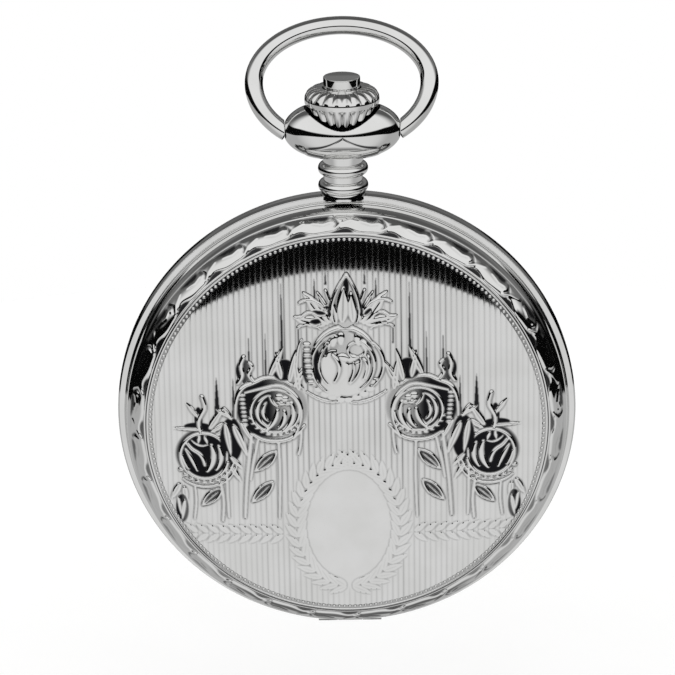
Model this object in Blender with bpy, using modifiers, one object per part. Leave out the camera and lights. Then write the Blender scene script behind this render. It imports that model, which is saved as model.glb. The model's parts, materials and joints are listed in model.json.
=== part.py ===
"""Hunter pocket watch with a hinged front cover, a hinged back cover and a keyless lever movement.

The case and the movement are modelled as they lie on a bench, on the back cover, dial up: X to the
right, Y towards the crown, Z the height above the back cover's flat. An empty then stands the whole
watch up, so that the front cover faces -Y and the crown points to +Z. The pendant, crown and bow are
modelled upright about the pendant's axis. Every size is in metres.
"""

import math

import bmesh
import bpy
from mathutils import Matrix, Vector

MM = 0.001

# Fits
SEAT_GAP = 0.05 * MM
RUN_GAP = 0.05 * MM
COVER_GAP = 0.15 * MM

# Gear train: teeth and modules
BARREL_TEETH = 60
CENTRE_PINION_TEETH = 10
BARREL_MODULE = 0.22 * MM
CENTRE_TEETH = 48
THIRD_PINION_TEETH = 6
CENTRE_MODULE = 0.22 * MM
THIRD_TEETH = 45
FOURTH_PINION_TEETH = 6
THIRD_MODULE = 0.19 * MM
FOURTH_TEETH = 60
ESCAPE_PINION_TEETH = 6
FOURTH_MODULE = 0.14 * MM
ESCAPE_TEETH = 15
ESCAPE_RADIUS = 2.5 * MM
CANNON_TEETH = 10
MINUTE_TEETH = 30
MINUTE_PINION_TEETH = 8
HOUR_TEETH = 32
MOTION_MODULE = 0.2 * MM
RATCHET_TEETH = 36
CROWN_WHEEL_TEETH = 24
WINDING_TEETH = 12
WINDING_MODULE = 0.24 * MM
ADDENDUM = 0.75
DEDENDUM = 1.15

# Gear train: places on the mainplate
BARREL_ANGLE = math.radians(130)
MINUTE_ANGLE = math.radians(60)
SECONDS_OFFSET = 9.0 * MM
ESCAPE_ANGLE = math.radians(198)
LEVER_ANGLE = math.radians(140)
PALLET_DISTANCE = 3.0 * MM
BALANCE_DISTANCE = 3.3 * MM
BALANCE_RADIUS = 4.9 * MM
BALANCE_RIM = 0.45 * MM
COCK_FOOT_RADIUS = 2.3 * MM
COCK_FOOT_ANGLE = math.radians(132)
PALLET_FOOT_DISTANCE = 3.7 * MM
PALLET_FOOT_RADIUS = 1.0 * MM
FORK_REACH = 2.45 * MM
FORK_NOTCH_DEPTH = 0.4 * MM
FORK_NOTCH_WIDTH = 0.26 * MM
FORK_WIDTH = 0.64 * MM

# Movement: thicknesses, from the back to the front
BRIDGE_THICKNESS = 0.6 * MM
TRAIN_SPACE = 1.65 * MM
PLATE_THICKNESS = 0.9 * MM
MOTION_SPACE = 0.7 * MM
DIAL_THICKNESS = 0.4 * MM
WHEEL_THICKNESS = 0.2 * MM
RATCHET_THICKNESS = 0.45 * MM
BARREL_THICKNESS = 1.0 * MM
BARREL_WALL = 0.25 * MM
COCK_THICKNESS = 0.6 * MM
COCK_RISE = 1.3 * MM
FOOT_WIDTH = 2.2 * MM
FOOT_GAP = 0.7 * MM
PLATE_RIM = 0.9 * MM
PLATE_GAP = 0.15 * MM
BRIDGE_CHORD = 2.2 * MM
CLICK_REACH = 0.75 * MM

# Arbors and screws
PIVOT_RADIUS = 0.12 * MM
ARBOR_RADIUS = 0.2 * MM
CENTRE_ARBOR_RADIUS = 0.35 * MM
CANNON_WALL = 0.3 * MM
HOUR_PIPE_WALL = 0.25 * MM
BARREL_ARBOR_RADIUS = 0.75 * MM
JEWEL_RADIUS = 0.6 * MM
SCREW_HEAD_RADIUS = 0.85 * MM
SCREW_HEAD_HEIGHT = 0.4 * MM
SCREW_SHANK_RADIUS = 0.4 * MM
SCREW_SHANK_LENGTH = 1.2 * MM
SCREW_SLOT_WIDTH = 0.2 * MM

# Springs
HAIRSPRING_TURNS = 6
HAIRSPRING_INNER_RADIUS = 0.7 * MM
HAIRSPRING_PITCH = 0.53 * MM
HAIRSPRING_WIRE = 0.04 * MM
MAINSPRING_TURNS = 4
MAINSPRING_STRIP = 0.06 * MM
LEAST_COIL_GAP = 0.4 * MM

# Hands
HOUR_HAND_LENGTH = 9.6 * MM
MINUTE_HAND_LENGTH = 14.2 * MM
SECONDS_HAND_LENGTH = 3.7 * MM
HAND_THICKNESS = 0.14 * MM
HAND_GAP = 0.15 * MM

HOUR_ANGLE = math.radians(55)
MINUTE_HAND_ANGLE = math.radians(-60)
SECONDS_HAND_ANGLE = math.radians(140)

# Case
RING_WIDTH = 1.4 * MM
RING_LEDGE = 0.45 * MM
MIDDLE_WALL = 2.4 * MM
BAND_STEP = 1.635 * MM
BAND_HEIGHT = 2.0 * MM
BAND_CHAMFER = 0.35 * MM
SPRING_GROOVE_WALL = 0.5 * MM
SPRING_GROOVE_WIDTH = 1.2 * MM
SPRING_GROOVE_DEPTH = 1.0 * MM
CASE_THICKNESS = 13.0 * MM
COVER_WALL = 0.5 * MM
COVER_SETBACK = 0.7 * MM
COVER_SKIRT_TAPER = 0.7 * MM
COVER_SHOULDER_WIDTH = 1.5 * MM
COVER_SHOULDER_DROP = 1.1 * MM
COVER_CROWNING = 1.45 * MM
BACK_FLAT_RADIUS = 4.0 * MM
CRYSTAL_THICKNESS = 0.6 * MM
CRYSTAL_RISE = 1.2 * MM
CRYSTAL_LEDGE = 0.8 * MM
BEZEL_HEIGHT = 0.75 * MM
BACK_BEZEL_DEPTH = 1.45 * MM
BACK_LIP = 1.0 * MM

# Catch and lift spring
CATCH_WIDTH = 2.4 * MM
CATCH_THICKNESS = 0.9 * MM
LIFT_SPRING_START = -150
LIFT_SPRING_END = -112

# Cover hinges
HINGE_KNUCKLE_RADIUS = 0.45 * MM
HINGE_PIN_RADIUS = 0.18 * MM
HINGE_MIDDLE_LENGTH = 2.5 * MM
HINGE_OUTER_LENGTH = 2.0 * MM
HINGE_DROP = 0.05 * MM

# Pendant, crown and bow
NECK_RADIUS = 2.05 * MM
NECK_BEAD_RADIUS = 2.57 * MM
NECK_BEAD_HEIGHT = 1.15 * MM
NECK_BEAD_SPACING = 1.83 * MM
NECK_BASE_HEIGHT = 0.72 * MM
NECK_BASE_RADIUS = 2.95 * MM
NECK_TOP_LENGTH = 0.3 * MM
COLLAR_HALF_LENGTH = 5.875 * MM
COLLAR_BELLY_RADIUS = 3.02 * MM
COLLAR_END_RADIUS = 1.08 * MM
CUP_GAP = 0.25 * MM
CROWN_RADIUS = 3.82 * MM
CROWN_FLUTES = 22
CROWN_FLUTE_DEPTH = 0.22 * MM
CROWN_CONE_HEIGHT = 2.7 * MM
CROWN_CONE_RADIUS = 2.35 * MM
CROWN_BAND_HEIGHT = 0.55 * MM
CROWN_DOME_HEIGHT = 1.15 * MM
CROWN_TOP_RADIUS = 2.2 * MM
PUSH_RADIUS = 1.88 * MM
PUSH_PROTRUSION = 1.05 * MM
PUSH_SKIRT = 0.9 * MM
PUSH_TRAVEL = 0.8 * MM
PUSH_TUBE_WALL = 0.35 * MM
STEM_RADIUS = 0.45 * MM
STEM_SQUARE = 0.56 * MM
CROWN_PULL = 0.9 * MM
CROSS_PIN_RADIUS = 0.22 * MM
SLEEVE_WALL = 0.25 * MM
BOW_WIRE_RADIUS = 0.93 * MM
BOW_HALF_WIDTH = 8.98 * MM
BOW_UPPER_HEIGHT = 5.96 * MM
BOW_LOWER_HEIGHT = 6.57 * MM
BOW_CENTRE_RISE = 4.88 * MM
BOW_TILT = math.radians(26)
BOW_PIN_RADIUS = 0.5 * MM
BOW_PIN_LENGTH = 1.1 * MM
BOW_FACE_HEIGHT = 1.8 * MM
BOW_SIDE_GAP = 0.1 * MM

# Facets round a circle
CASE_FACETS = 28
SMALL_FACETS = 16
PIN_FACETS = 10

# ---------------------------------------------------------------- derived sizes

MID = CASE_THICKNESS / 2


def polar(radius, angle):
    """The point at a radius and an angle."""
    return (radius * math.cos(angle), radius * math.sin(angle))


def moved(point, distance, angle):
    """The point at a distance and a direction from another."""
    return (point[0] + distance * math.cos(angle), point[1] + distance * math.sin(angle))


def spread(first, second, module):
    """Centre distance of two meshing gears."""
    return (first + second) * module / 2


def crossing(centre, reach, other, other_reach):
    """The right-hand crossing of two circles, used to place an arbor between two others."""
    dx = other[0] - centre[0]
    dy = other[1] - centre[1]
    apart = math.hypot(dx, dy)
    along = (reach ** 2 - other_reach ** 2 + apart ** 2) / (2 * apart)
    aside = math.sqrt(reach ** 2 - along ** 2)
    return (centre[0] + (along * dx - aside * dy) / apart,
            centre[1] + (along * dy + aside * dx) / apart)


CENTRE = (0.0, 0.0)
BARREL = polar(spread(BARREL_TEETH, CENTRE_PINION_TEETH, BARREL_MODULE), BARREL_ANGLE)
FOURTH = (0.0, -SECONDS_OFFSET)
THIRD = crossing(CENTRE, spread(CENTRE_TEETH, THIRD_PINION_TEETH, CENTRE_MODULE),
                 FOURTH, spread(THIRD_TEETH, FOURTH_PINION_TEETH, THIRD_MODULE))
ESCAPE = moved(FOURTH, spread(FOURTH_TEETH, ESCAPE_PINION_TEETH, FOURTH_MODULE), ESCAPE_ANGLE)
PALLET = moved(ESCAPE, PALLET_DISTANCE, LEVER_ANGLE)
BALANCE = moved(PALLET, BALANCE_DISTANCE, LEVER_ANGLE)
MINUTE = polar(spread(CANNON_TEETH, MINUTE_TEETH, MOTION_MODULE), MINUTE_ANGLE)
WINDING_SPREAD = spread(RATCHET_TEETH, CROWN_WHEEL_TEETH, WINDING_MODULE)
CROWN_WHEEL = (0.0, BARREL[1] + math.sqrt(WINDING_SPREAD ** 2 - BARREL[0] ** 2))
COCK_FOOT = moved(BALANCE, BALANCE_RADIUS + COCK_FOOT_RADIUS + 0.5 * MM, COCK_FOOT_ANGLE)

# Heights on the bench
BRIDGE_FRONT = MID + STEM_RADIUS + PLATE_GAP - TRAIN_SPACE
BRIDGE_BACK = BRIDGE_FRONT - BRIDGE_THICKNESS
PLATE_BACK = BRIDGE_FRONT + TRAIN_SPACE
PLATE_FRONT = PLATE_BACK + PLATE_THICKNESS
DIAL_BACK = PLATE_FRONT + MOTION_SPACE
DIAL_FRONT = DIAL_BACK + DIAL_THICKNESS
RATCHET_FRONT = BRIDGE_BACK - SEAT_GAP
RATCHET_BACK = RATCHET_FRONT - RATCHET_THICKNESS
COCK_BACK = BRIDGE_BACK - COCK_RISE
COCK_FRONT = COCK_BACK + COCK_THICKNESS
CENTRE_WHEEL_BACK = BRIDGE_FRONT + 0.1 * MM
FOURTH_WHEEL_BACK = CENTRE_WHEEL_BACK + 2 * WHEEL_THICKNESS
THIRD_WHEEL_BACK = PLATE_BACK - 0.2 * MM - WHEEL_THICKNESS
ESCAPE_WHEEL_BACK = PLATE_BACK - 0.35 * MM - WHEEL_THICKNESS
BARREL_FRONT = PLATE_BACK - 0.1 * MM
BARREL_BACK = BARREL_FRONT - BARREL_THICKNESS
BALANCE_BACK = COCK_FRONT + 0.45 * MM
BALANCE_FRONT = BALANCE_BACK + 0.3 * MM
HAIRSPRING_LEVEL = (COCK_FRONT + BALANCE_BACK) / 2
SECONDS_HAND_BACK = DIAL_FRONT + 0.08 * MM
HOUR_HAND_BACK = SECONDS_HAND_BACK + HAND_THICKNESS + 0.08 * MM
MINUTE_HAND_BACK = HOUR_HAND_BACK + HAND_THICKNESS + HAND_GAP
MINUTE_WHEEL_BACK = PLATE_FRONT + 0.1 * MM
HOUR_WHEEL_BACK = MINUTE_WHEEL_BACK + WHEEL_THICKNESS + 0.12 * MM

# Radii of the case, from the movement outwards
BARREL_REACH = math.hypot(*BARREL) + (BARREL_TEETH / 2 + ADDENDUM) * BARREL_MODULE
BRIDGE_RADIUS = BARREL_REACH + FOOT_GAP + FOOT_WIDTH
PLATE_RADIUS = BRIDGE_RADIUS + PLATE_RIM
RING_INNER = PLATE_RADIUS + PLATE_GAP
RING_OUTER = RING_INNER + RING_WIDTH
BORE_RADIUS = RING_OUTER + PLATE_GAP
MIDDLE_RADIUS = BORE_RADIUS + MIDDLE_WALL
CASE_RADIUS = MIDDLE_RADIUS + BAND_STEP
COVER_RADIUS = CASE_RADIUS - COVER_SETBACK
SHOULDER_RADIUS = COVER_RADIUS - COVER_SKIRT_TAPER
FIELD_RADIUS = SHOULDER_RADIUS - COVER_SHOULDER_WIDTH
BAND_FRONT = MID + BAND_HEIGHT / 2
BAND_BACK = MID - BAND_HEIGHT / 2
MIDDLE_FRONT = DIAL_BACK - 0.4 * MM
MIDDLE_BACK = 2 * MID - MIDDLE_FRONT
RIM_FRONT = BAND_FRONT + COVER_GAP
BEZEL_BACK = MIDDLE_FRONT + SEAT_GAP
CRYSTAL_SEAT = DIAL_FRONT + 0.15 * MM
CRYSTAL_RADIUS = RING_OUTER + 0.35 * MM
BEZEL_RADIUS = MIDDLE_RADIUS - 0.4 * MM
DIAL_RADIUS = RING_OUTER - 0.65 * MM
HINGE_Y = -COVER_RADIUS
LID_HINGE_Z = RIM_FRONT - HINGE_DROP
BACK_HINGE_Z = 2 * MID - LID_HINGE_Z

# Screws and click of the bridges
SCREW_RING = BRIDGE_RADIUS - FOOT_WIDTH / 2
BARREL_BRIDGE_SCREWS = (polar(SCREW_RING, math.radians(35)), polar(SCREW_RING, math.radians(150)))
TRAIN_BRIDGE_SCREW = polar(SCREW_RING, math.radians(-45))
RATCHET_TIP = (RATCHET_TEETH / 2 + ADDENDUM) * WINDING_MODULE
CLICK = moved(BARREL, RATCHET_TIP + CLICK_REACH + 0.55 * MM, math.radians(160))

# Heights above the case's centre, along the pendant
NECK_LOWER_BEAD = CASE_RADIUS + NECK_BASE_HEIGHT
NECK_UPPER_BEAD = NECK_LOWER_BEAD + NECK_BEAD_SPACING
NECK_TOP = NECK_UPPER_BEAD + NECK_BEAD_HEIGHT / 2 + NECK_TOP_LENGTH
PIVOT_HEIGHT = NECK_TOP + COLLAR_BELLY_RADIUS + 0.16 * MM
CROWN_BOTTOM = PIVOT_HEIGHT + 0.15 * MM
CROWN_EQUATOR = CROWN_BOTTOM + CROWN_CONE_HEIGHT + CROWN_BAND_HEIGHT
CROWN_TOP = CROWN_EQUATOR + CROWN_DOME_HEIGHT
PUSH_TOP = CROWN_TOP + PUSH_PROTRUSION
PUSH_BORE = STEM_RADIUS + 0.3 * MM
PUSH_TUBE_RADIUS = PUSH_BORE + PUSH_TUBE_WALL
CROSS_PIN_HEIGHT = CROWN_BOTTOM + CROWN_CONE_HEIGHT / 2
STEM_TOP = CROSS_PIN_HEIGHT + 3 * CROSS_PIN_RADIUS
CATCH_TOP = MIDDLE_RADIUS - 0.45 * MM
CATCH_BACK = MID + PUSH_TUBE_RADIUS - PUSH_TUBE_WALL
PUSH_BOTTOM = CATCH_TOP + 0.25 * MM
PINION_LOW = CROWN_WHEEL[1] + CROWN_WHEEL_TEETH * WINDING_MODULE / 2 - 0.35 * MM
PINION_HIGH = PINION_LOW + 1.2 * MM
STEM_BOTTOM = PINION_LOW - 1.25 * MM

parts = bpy.data.collections.new("hunter_pocket_watch")
cutters = bpy.data.collections.new("cutters")
materials = {}
frames = {}

FINISHES = {
    "polished_case": ((0.80, 0.80, 0.79), 0.08, 1.0),
    "crystal": ((0.90, 0.93, 0.94), 0.03, 0.0),
    "steel": ((0.56, 0.57, 0.58), 0.25, 1.0),
    "spring_steel": ((0.18, 0.24, 0.42), 0.25, 1.0),
    "nickel_plate": ((0.66, 0.65, 0.62), 0.32, 1.0),
    "brass_wheel": ((0.78, 0.60, 0.30), 0.28, 1.0),
    "dial_enamel": ((0.86, 0.85, 0.82), 0.30, 0.0),
    "blued_hand": ((0.03, 0.05, 0.16), 0.25, 1.0),
    "ruby": ((0.55, 0.03, 0.08), 0.08, 0.0),
}


# ---------------------------------------------------------------- tools

def clear_scene():
    """Takes every object out of the file."""
    for item in list(bpy.data.objects):
        bpy.data.objects.remove(item, do_unlink=True)


def make_materials():
    """One Principled material for each finish."""
    for name, (colour, roughness, metallic) in FINISHES.items():
        material = bpy.data.materials.new(name)
        material.use_nodes = True
        shader = material.node_tree.nodes["Principled BSDF"]
        shader.inputs["Base Color"].default_value = (*colour, 1.0)
        shader.inputs["Roughness"].default_value = roughness
        shader.inputs["Metallic"].default_value = metallic
        materials[name] = material


def make_frames():
    """The empty that stands the bench up, and the one on the pendant's axis."""
    for name in ("bench", "pendant"):
        empty = bpy.data.objects.new(name, None)
        parts.objects.link(empty)
        frames[name] = empty
    frames["bench"].rotation_euler = (math.pi / 2, 0, 0)
    frames["pendant"].location = (0, -MID, 0)


def piece(name, data, finish, frame="bench", location=(0, 0, 0), rotation=(0, 0, 0)):
    """Links a named sub-part with its finish and its place in a frame."""
    thing = bpy.data.objects.new(name, data)
    parts.objects.link(thing)
    thing.parent = frames[frame]
    thing.location = location
    thing.rotation_euler = rotation
    if isinstance(data, bpy.types.Mesh):
        data.shade_smooth()
        data.set_sharp_from_angle(angle=math.radians(35))
    data.materials.append(materials[finish])
    return thing


def as_tool(thing):
    """Makes a shape a cutter or a part to be joined, which isn't a sub-part itself."""
    parts.objects.unlink(thing)
    cutters.objects.link(thing)
    thing.hide_render = True
    thing.display_type = "WIRE"
    return thing


def combine(target, tool, operation):
    """Adds a Boolean modifier with the tool as its operand."""
    as_tool(tool)
    modifier = target.modifiers.new(tool.name, "BOOLEAN")
    modifier.operation = operation
    modifier.object = tool


def cut(target, *tools):
    """Cuts tools out of the target."""
    for tool in tools:
        combine(target, tool, "DIFFERENCE")


def join(target, *tools):
    """Joins tools to the target."""
    for tool in tools:
        combine(target, tool, "UNION")


def turned(name, profile, finish, facets=CASE_FACETS, frame="bench", location=(0, 0, 0),
           rotation=(0, 0, 0)):
    """A turned shape: (radius, height) points down the outer side and back up the inner side."""
    mesh = bpy.data.meshes.new(name)
    points = [(radius, 0, height) for radius, height in profile]
    edges = [(i, i + 1) for i in range(len(points) - 1)]
    if profile[0][0] > 0 or profile[-1][0] > 0:
        edges.append((len(points) - 1, 0))
    mesh.from_pydata(points, edges, [])
    thing = piece(name, mesh, finish, frame, location, rotation)
    screw = thing.modifiers.new("turning", "SCREW")
    screw.axis = "Z"
    screw.angle = 2 * math.pi
    screw.steps = facets
    screw.render_steps = facets
    screw.use_merge_vertices = True
    screw.merge_threshold = 1e-6
    screw.use_smooth_shade = True
    return thing


def washer(name, inner, outer, low, high, finish, facets=SMALL_FACETS, frame="bench",
           location=(0, 0, 0)):
    """A ring with a rectangular section."""
    profile = [(outer, high), (outer, low), (inner, low), (inner, high)]
    return turned(name, profile, finish, facets, frame, location)


def rod(name, radius, start, end, finish="steel", facets=PIN_FACETS, frame="bench"):
    """A round rod between two points of its frame."""
    start = Vector(start)
    end = Vector(end)
    mesh = bpy.data.meshes.new(name)
    form = bmesh.new()
    bmesh.ops.create_cone(form, cap_ends=True, segments=facets, radius1=radius, radius2=radius,
                          depth=(end - start).length)
    form.to_mesh(mesh)
    form.free()
    turn = (end - start).to_track_quat("Z", "Y").to_euler()
    return piece(name, mesh, finish, frame, (start + end) / 2, turn)


def block(name, low, high, finish="steel", frame="bench", turn=0.0):
    """A box between two corners, turned about its frame's Z axis."""
    low = Vector(low)
    high = Vector(high)
    mesh = bpy.data.meshes.new(name)
    form = bmesh.new()
    size = high - low
    bmesh.ops.create_cube(form, size=1.0, matrix=Matrix.Diagonal((*size, 1.0)))
    form.to_mesh(mesh)
    form.free()
    centre = Matrix.Rotation(turn, 3, "Z") @ ((low + high) / 2)
    return piece(name, mesh, finish, frame, centre, (0, 0, turn))


def plate(name, outlines, low, high, finish, place=(0, 0), frame="bench", rotation=(0, 0, 0)):
    """A flat piece: closed outlines in its plane, the first the edge and the others holes."""
    curve = bpy.data.curves.new(name, "CURVE")
    curve.dimensions = "2D"
    curve.fill_mode = "BOTH"
    curve.extrude = (high - low) / 2
    for outline in outlines:
        spline = curve.splines.new("POLY")
        spline.points.add(len(outline) - 1)
        for point, (x, y) in zip(spline.points, outline):
            point.co = (x, y, 0, 1)
        spline.use_cyclic_u = True
    drawn = bpy.data.objects.new(name + "_drawn", curve)
    return mesh_of(drawn, name, finish, frame, (place[0], place[1], (low + high) / 2), rotation)


def mesh_of(drawn, name, finish, frame, location, rotation=(0, 0, 0)):
    """Makes a mesh of a curve, welds its caps and takes the curve away."""
    parts.objects.link(drawn)
    bpy.context.view_layer.update()
    seen = drawn.evaluated_get(bpy.context.evaluated_depsgraph_get())
    mesh = bpy.data.meshes.new_from_object(seen)
    mesh.name = name
    form = bmesh.new()
    form.from_mesh(mesh)
    bmesh.ops.remove_doubles(form, verts=form.verts, dist=1e-7)
    form.to_mesh(mesh)
    form.free()
    mesh.materials.clear()
    bpy.data.objects.remove(drawn, do_unlink=True)
    return piece(name, mesh, finish, frame, location, rotation)


def wire(name, points, radius, finish, resolution, frame="bench", location=(0, 0, 0),
         rotation=(0, 0, 0)):
    """A round wire through points, with filled ends."""
    curve = bpy.data.curves.new(name, "CURVE")
    curve.dimensions = "3D"
    curve.bevel_depth = radius
    curve.bevel_resolution = resolution
    curve.use_fill_caps = True
    spline = curve.splines.new("POLY")
    spline.points.add(len(points) - 1)
    for point, place in zip(spline.points, points):
        point.co = (*place, 1)
    drawn = bpy.data.objects.new(name + "_drawn", curve)
    return mesh_of(drawn, name, finish, frame, location, rotation)


# ---------------------------------------------------------------- outlines

def circle(radius, facets=SMALL_FACETS, centre=(0, 0)):
    """Points round a circle."""
    return [moved(centre, radius, 2 * math.pi * i / facets) for i in range(facets)]


def arc(centre, radius, start, end, steps):
    """Points along an arc between two angles in degrees."""
    return [moved(centre, radius, math.radians(start + (end - start) * i / steps))
            for i in range(steps + 1)]


def gear(teeth, module, phase, pointed=False):
    """A gear's outline, with a tooth at the phase: flat tips and roots, or pointed ones."""
    pitch = 2 * math.pi / teeth
    radius = teeth * module / 2
    tip = radius + ADDENDUM * module
    root = radius - DEDENDUM * module
    outline = []
    for i in range(teeth):
        middle = i * pitch + phase
        if pointed:
            outline.append(polar(tip, middle))
            outline.append(polar(root, middle + 0.5 * pitch))
            continue
        outline.append(polar(root, middle - 0.30 * pitch))
        outline.append(polar(tip, middle - 0.11 * pitch))
        outline.append(polar(tip, middle + 0.11 * pitch))
        outline.append(polar(root, middle + 0.30 * pitch))
    return outline


def saw(teeth, tip, root, phase, lean):
    """The outline of a wheel with leaning, pointed teeth, such as an escape or a ratchet wheel."""
    pitch = 2 * math.pi / teeth
    outline = []
    for i in range(teeth):
        middle = i * pitch + phase
        outline.append(polar(root, middle - 0.32 * pitch))
        outline.append(polar(tip, middle + lean * pitch))
        outline.append(polar(root, middle + 0.10 * pitch))
    return outline


def windows(count, inner, outer, spoke, steps=2):
    """The openings between the arms of a wheel."""
    openings = []
    for i in range(count):
        start = 2 * math.pi * i / count
        end = 2 * math.pi * (i + 1) / count
        wide = spoke / 2 / outer
        narrow = spoke / 2 / inner
        outline = [polar(outer, start + wide + (end - start - 2 * wide) * k / steps)
                   for k in range(steps + 1)]
        outline += [polar(inner, end - narrow), polar(inner, start + narrow)]
        openings.append(outline)
    return openings


def drop(first, first_radius, second, second_radius, steps=6):
    """The outline round two circles and their common tangents."""
    angle = math.atan2(second[1] - first[1], second[0] - first[0])
    apart = math.hypot(second[0] - first[0], second[1] - first[1])
    lean = math.acos((first_radius - second_radius) / apart)
    outline = [moved(first, first_radius, angle + lean + (2 * math.pi - 2 * lean) * i / steps)
               for i in range(steps + 1)]
    outline += [moved(second, second_radius, angle - lean + 2 * lean * i / steps)
                for i in range(steps + 1)]
    return outline


def towards(place, target):
    """The direction from one point to another."""
    return math.atan2(target[1] - place[1], target[0] - place[0])


def gap_towards(place, target, teeth):
    """The phase that turns a gap of a gear towards another."""
    return towards(place, target) + math.pi / teeth


# ---------------------------------------------------------------- case

def crowned(apex, side, radius):
    """Height of a cover's crowned field at a radius: an arc that falls by the crowning at its edge."""
    sphere = (FIELD_RADIUS ** 2 + COVER_CROWNING ** 2) / (2 * COVER_CROWNING)
    return apex - side * (sphere - math.sqrt(sphere ** 2 - radius ** 2))


def cover_profile(side):
    """Half section of a cover, from its apex: +1 the front cover, -1 the back cover."""
    apex = CASE_THICKNESS if side > 0 else 0.0
    rim = MID + side * (RIM_FRONT - MID)
    shoulder = crowned(apex, side, FIELD_RADIUS) - side * COVER_SHOULDER_DROP
    steps = [FIELD_RADIUS * share for share in (0.35, 0.7, 1.0)]
    outer = [(0.0, apex)] + [(radius, crowned(apex, side, radius)) for radius in steps]
    outer += [(SHOULDER_RADIUS, shoulder), (COVER_RADIUS, rim)]
    inner_apex = apex - side * COVER_WALL
    inner = [(radius - COVER_WALL / 3, crowned(inner_apex, side, radius)) for radius in reversed(steps)]
    lower = [(COVER_RADIUS - COVER_WALL, rim),
             (SHOULDER_RADIUS - COVER_WALL, shoulder - side * COVER_WALL / 2)]
    profile = outer + lower + inner + [(0.0, inner_apex)]
    if side > 0:
        return profile
    flattened = [(0.0, 0.0), (BACK_FLAT_RADIUS, 0.0)] + profile[2:]
    return flattened[::-1]


def knuckles(height):
    """The two outer knuckles of a hinge on the case middle."""
    half = HINGE_MIDDLE_LENGTH / 2 + 0.1 * MM
    return [rod("outer_knuckle", HINGE_KNUCKLE_RADIUS, (side * half, HINGE_Y, height),
                (side * (half + HINGE_OUTER_LENGTH), HINGE_Y, height)) for side in (-1, 1)]


def pin_bore(height):
    """The bore of a hinge."""
    half = HINGE_MIDDLE_LENGTH / 2 + HINGE_OUTER_LENGTH + 0.2 * MM
    return rod("pin_bore", HINGE_PIN_RADIUS + RUN_GAP, (-half, HINGE_Y, height),
               (half, HINGE_Y, height))


def hinge_relief(height, start, end):
    """Room for a knuckle that turns next to this piece."""
    radius = HINGE_KNUCKLE_RADIUS + 0.1 * MM
    return rod("hinge_relief", radius, (start, HINGE_Y, height), (end, HINGE_Y, height))


def make_case_middle():
    """The band with its seats for the bezels, the groove for the springs and half of each hinge."""
    groove_inner = MIDDLE_RADIUS - SPRING_GROOVE_WALL - SPRING_GROOVE_WIDTH
    groove_outer = MIDDLE_RADIUS - SPRING_GROOVE_WALL
    floor = MIDDLE_FRONT - SPRING_GROOVE_DEPTH
    profile = [
        (MIDDLE_RADIUS, MIDDLE_FRONT), (MIDDLE_RADIUS, BAND_FRONT),
        (CASE_RADIUS - BAND_CHAMFER, BAND_FRONT), (CASE_RADIUS, BAND_FRONT - BAND_CHAMFER),
        (CASE_RADIUS, BAND_BACK + BAND_CHAMFER), (CASE_RADIUS - BAND_CHAMFER, BAND_BACK),
        (MIDDLE_RADIUS, BAND_BACK), (MIDDLE_RADIUS, MIDDLE_BACK),
        (BORE_RADIUS, MIDDLE_BACK), (BORE_RADIUS, MIDDLE_FRONT),
        (groove_inner, MIDDLE_FRONT), (groove_inner, floor),
        (groove_outer, floor), (groove_outer, MIDDLE_FRONT),
    ]
    middle = turned("case_middle", profile, "polished_case")
    half = HINGE_MIDDLE_LENGTH / 2 + 0.1 * MM
    for height in (LID_HINGE_Z, BACK_HINGE_Z):
        cut(middle, hinge_relief(height, -half, half))
        join(middle, *knuckles(height))
        cut(middle, pin_bore(height))
    tube_hole = PUSH_TUBE_RADIUS + 0.1 * MM
    cut(middle, rod("tube_hole", tube_hole, (0, BORE_RADIUS - MM, MID), (0, CASE_RADIUS + MM, MID),
                    facets=SMALL_FACETS))
    pocket = CATCH_WIDTH / 2 + 0.25 * MM
    cut(middle, block("catch_pocket", (-pocket, BORE_RADIUS - MM, CATCH_BACK - 0.15 * MM),
                      (pocket, MIDDLE_RADIUS + 0.05 * MM, MIDDLE_FRONT + MM)))
    turn = math.radians(LIFT_SPRING_END)
    cut(middle, block("lift_notch", (groove_outer - 0.2 * MM, -0.6 * MM, floor + 0.15 * MM),
                      (MIDDLE_RADIUS + 0.05 * MM, 0.6 * MM, MIDDLE_FRONT + MM), turn=turn))


def make_front_cover():
    """The hunter lid: a crowned shell with its middle knuckle and the lip that the catch holds."""
    cover = turned("front_cover", cover_profile(1), "polished_case")
    half = HINGE_MIDDLE_LENGTH / 2
    far = half + HINGE_OUTER_LENGTH + 0.2 * MM
    cut(cover, hinge_relief(LID_HINGE_Z, half, far), hinge_relief(LID_HINGE_Z, -far, -half))
    join(cover, rod("lid_knuckle", HINGE_KNUCKLE_RADIUS, (-half, HINGE_Y, LID_HINGE_Z),
                    (half, HINGE_Y, LID_HINGE_Z)))
    lip_front = RIM_FRONT + 0.28 * MM
    join(cover, block("lid_lip", (-CATCH_WIDTH / 2, MIDDLE_RADIUS + 0.08 * MM, RIM_FRONT + 0.02 * MM),
                      (CATCH_WIDTH / 2, COVER_RADIUS - COVER_WALL / 2, lip_front)))
    cut(cover, pin_bore(LID_HINGE_Z))


def make_back_cover():
    """The back cover: the same shell with a small flat in its middle."""
    cover = turned("back_cover", cover_profile(-1), "polished_case")
    half = HINGE_MIDDLE_LENGTH / 2
    far = half + HINGE_OUTER_LENGTH + 0.2 * MM
    cut(cover, hinge_relief(BACK_HINGE_Z, half, far), hinge_relief(BACK_HINGE_Z, -far, -half))
    join(cover, rod("back_knuckle", HINGE_KNUCKLE_RADIUS, (-half, HINGE_Y, BACK_HINGE_Z),
                    (half, HINGE_Y, BACK_HINGE_Z)))
    cut(cover, pin_bore(BACK_HINGE_Z))


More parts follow.
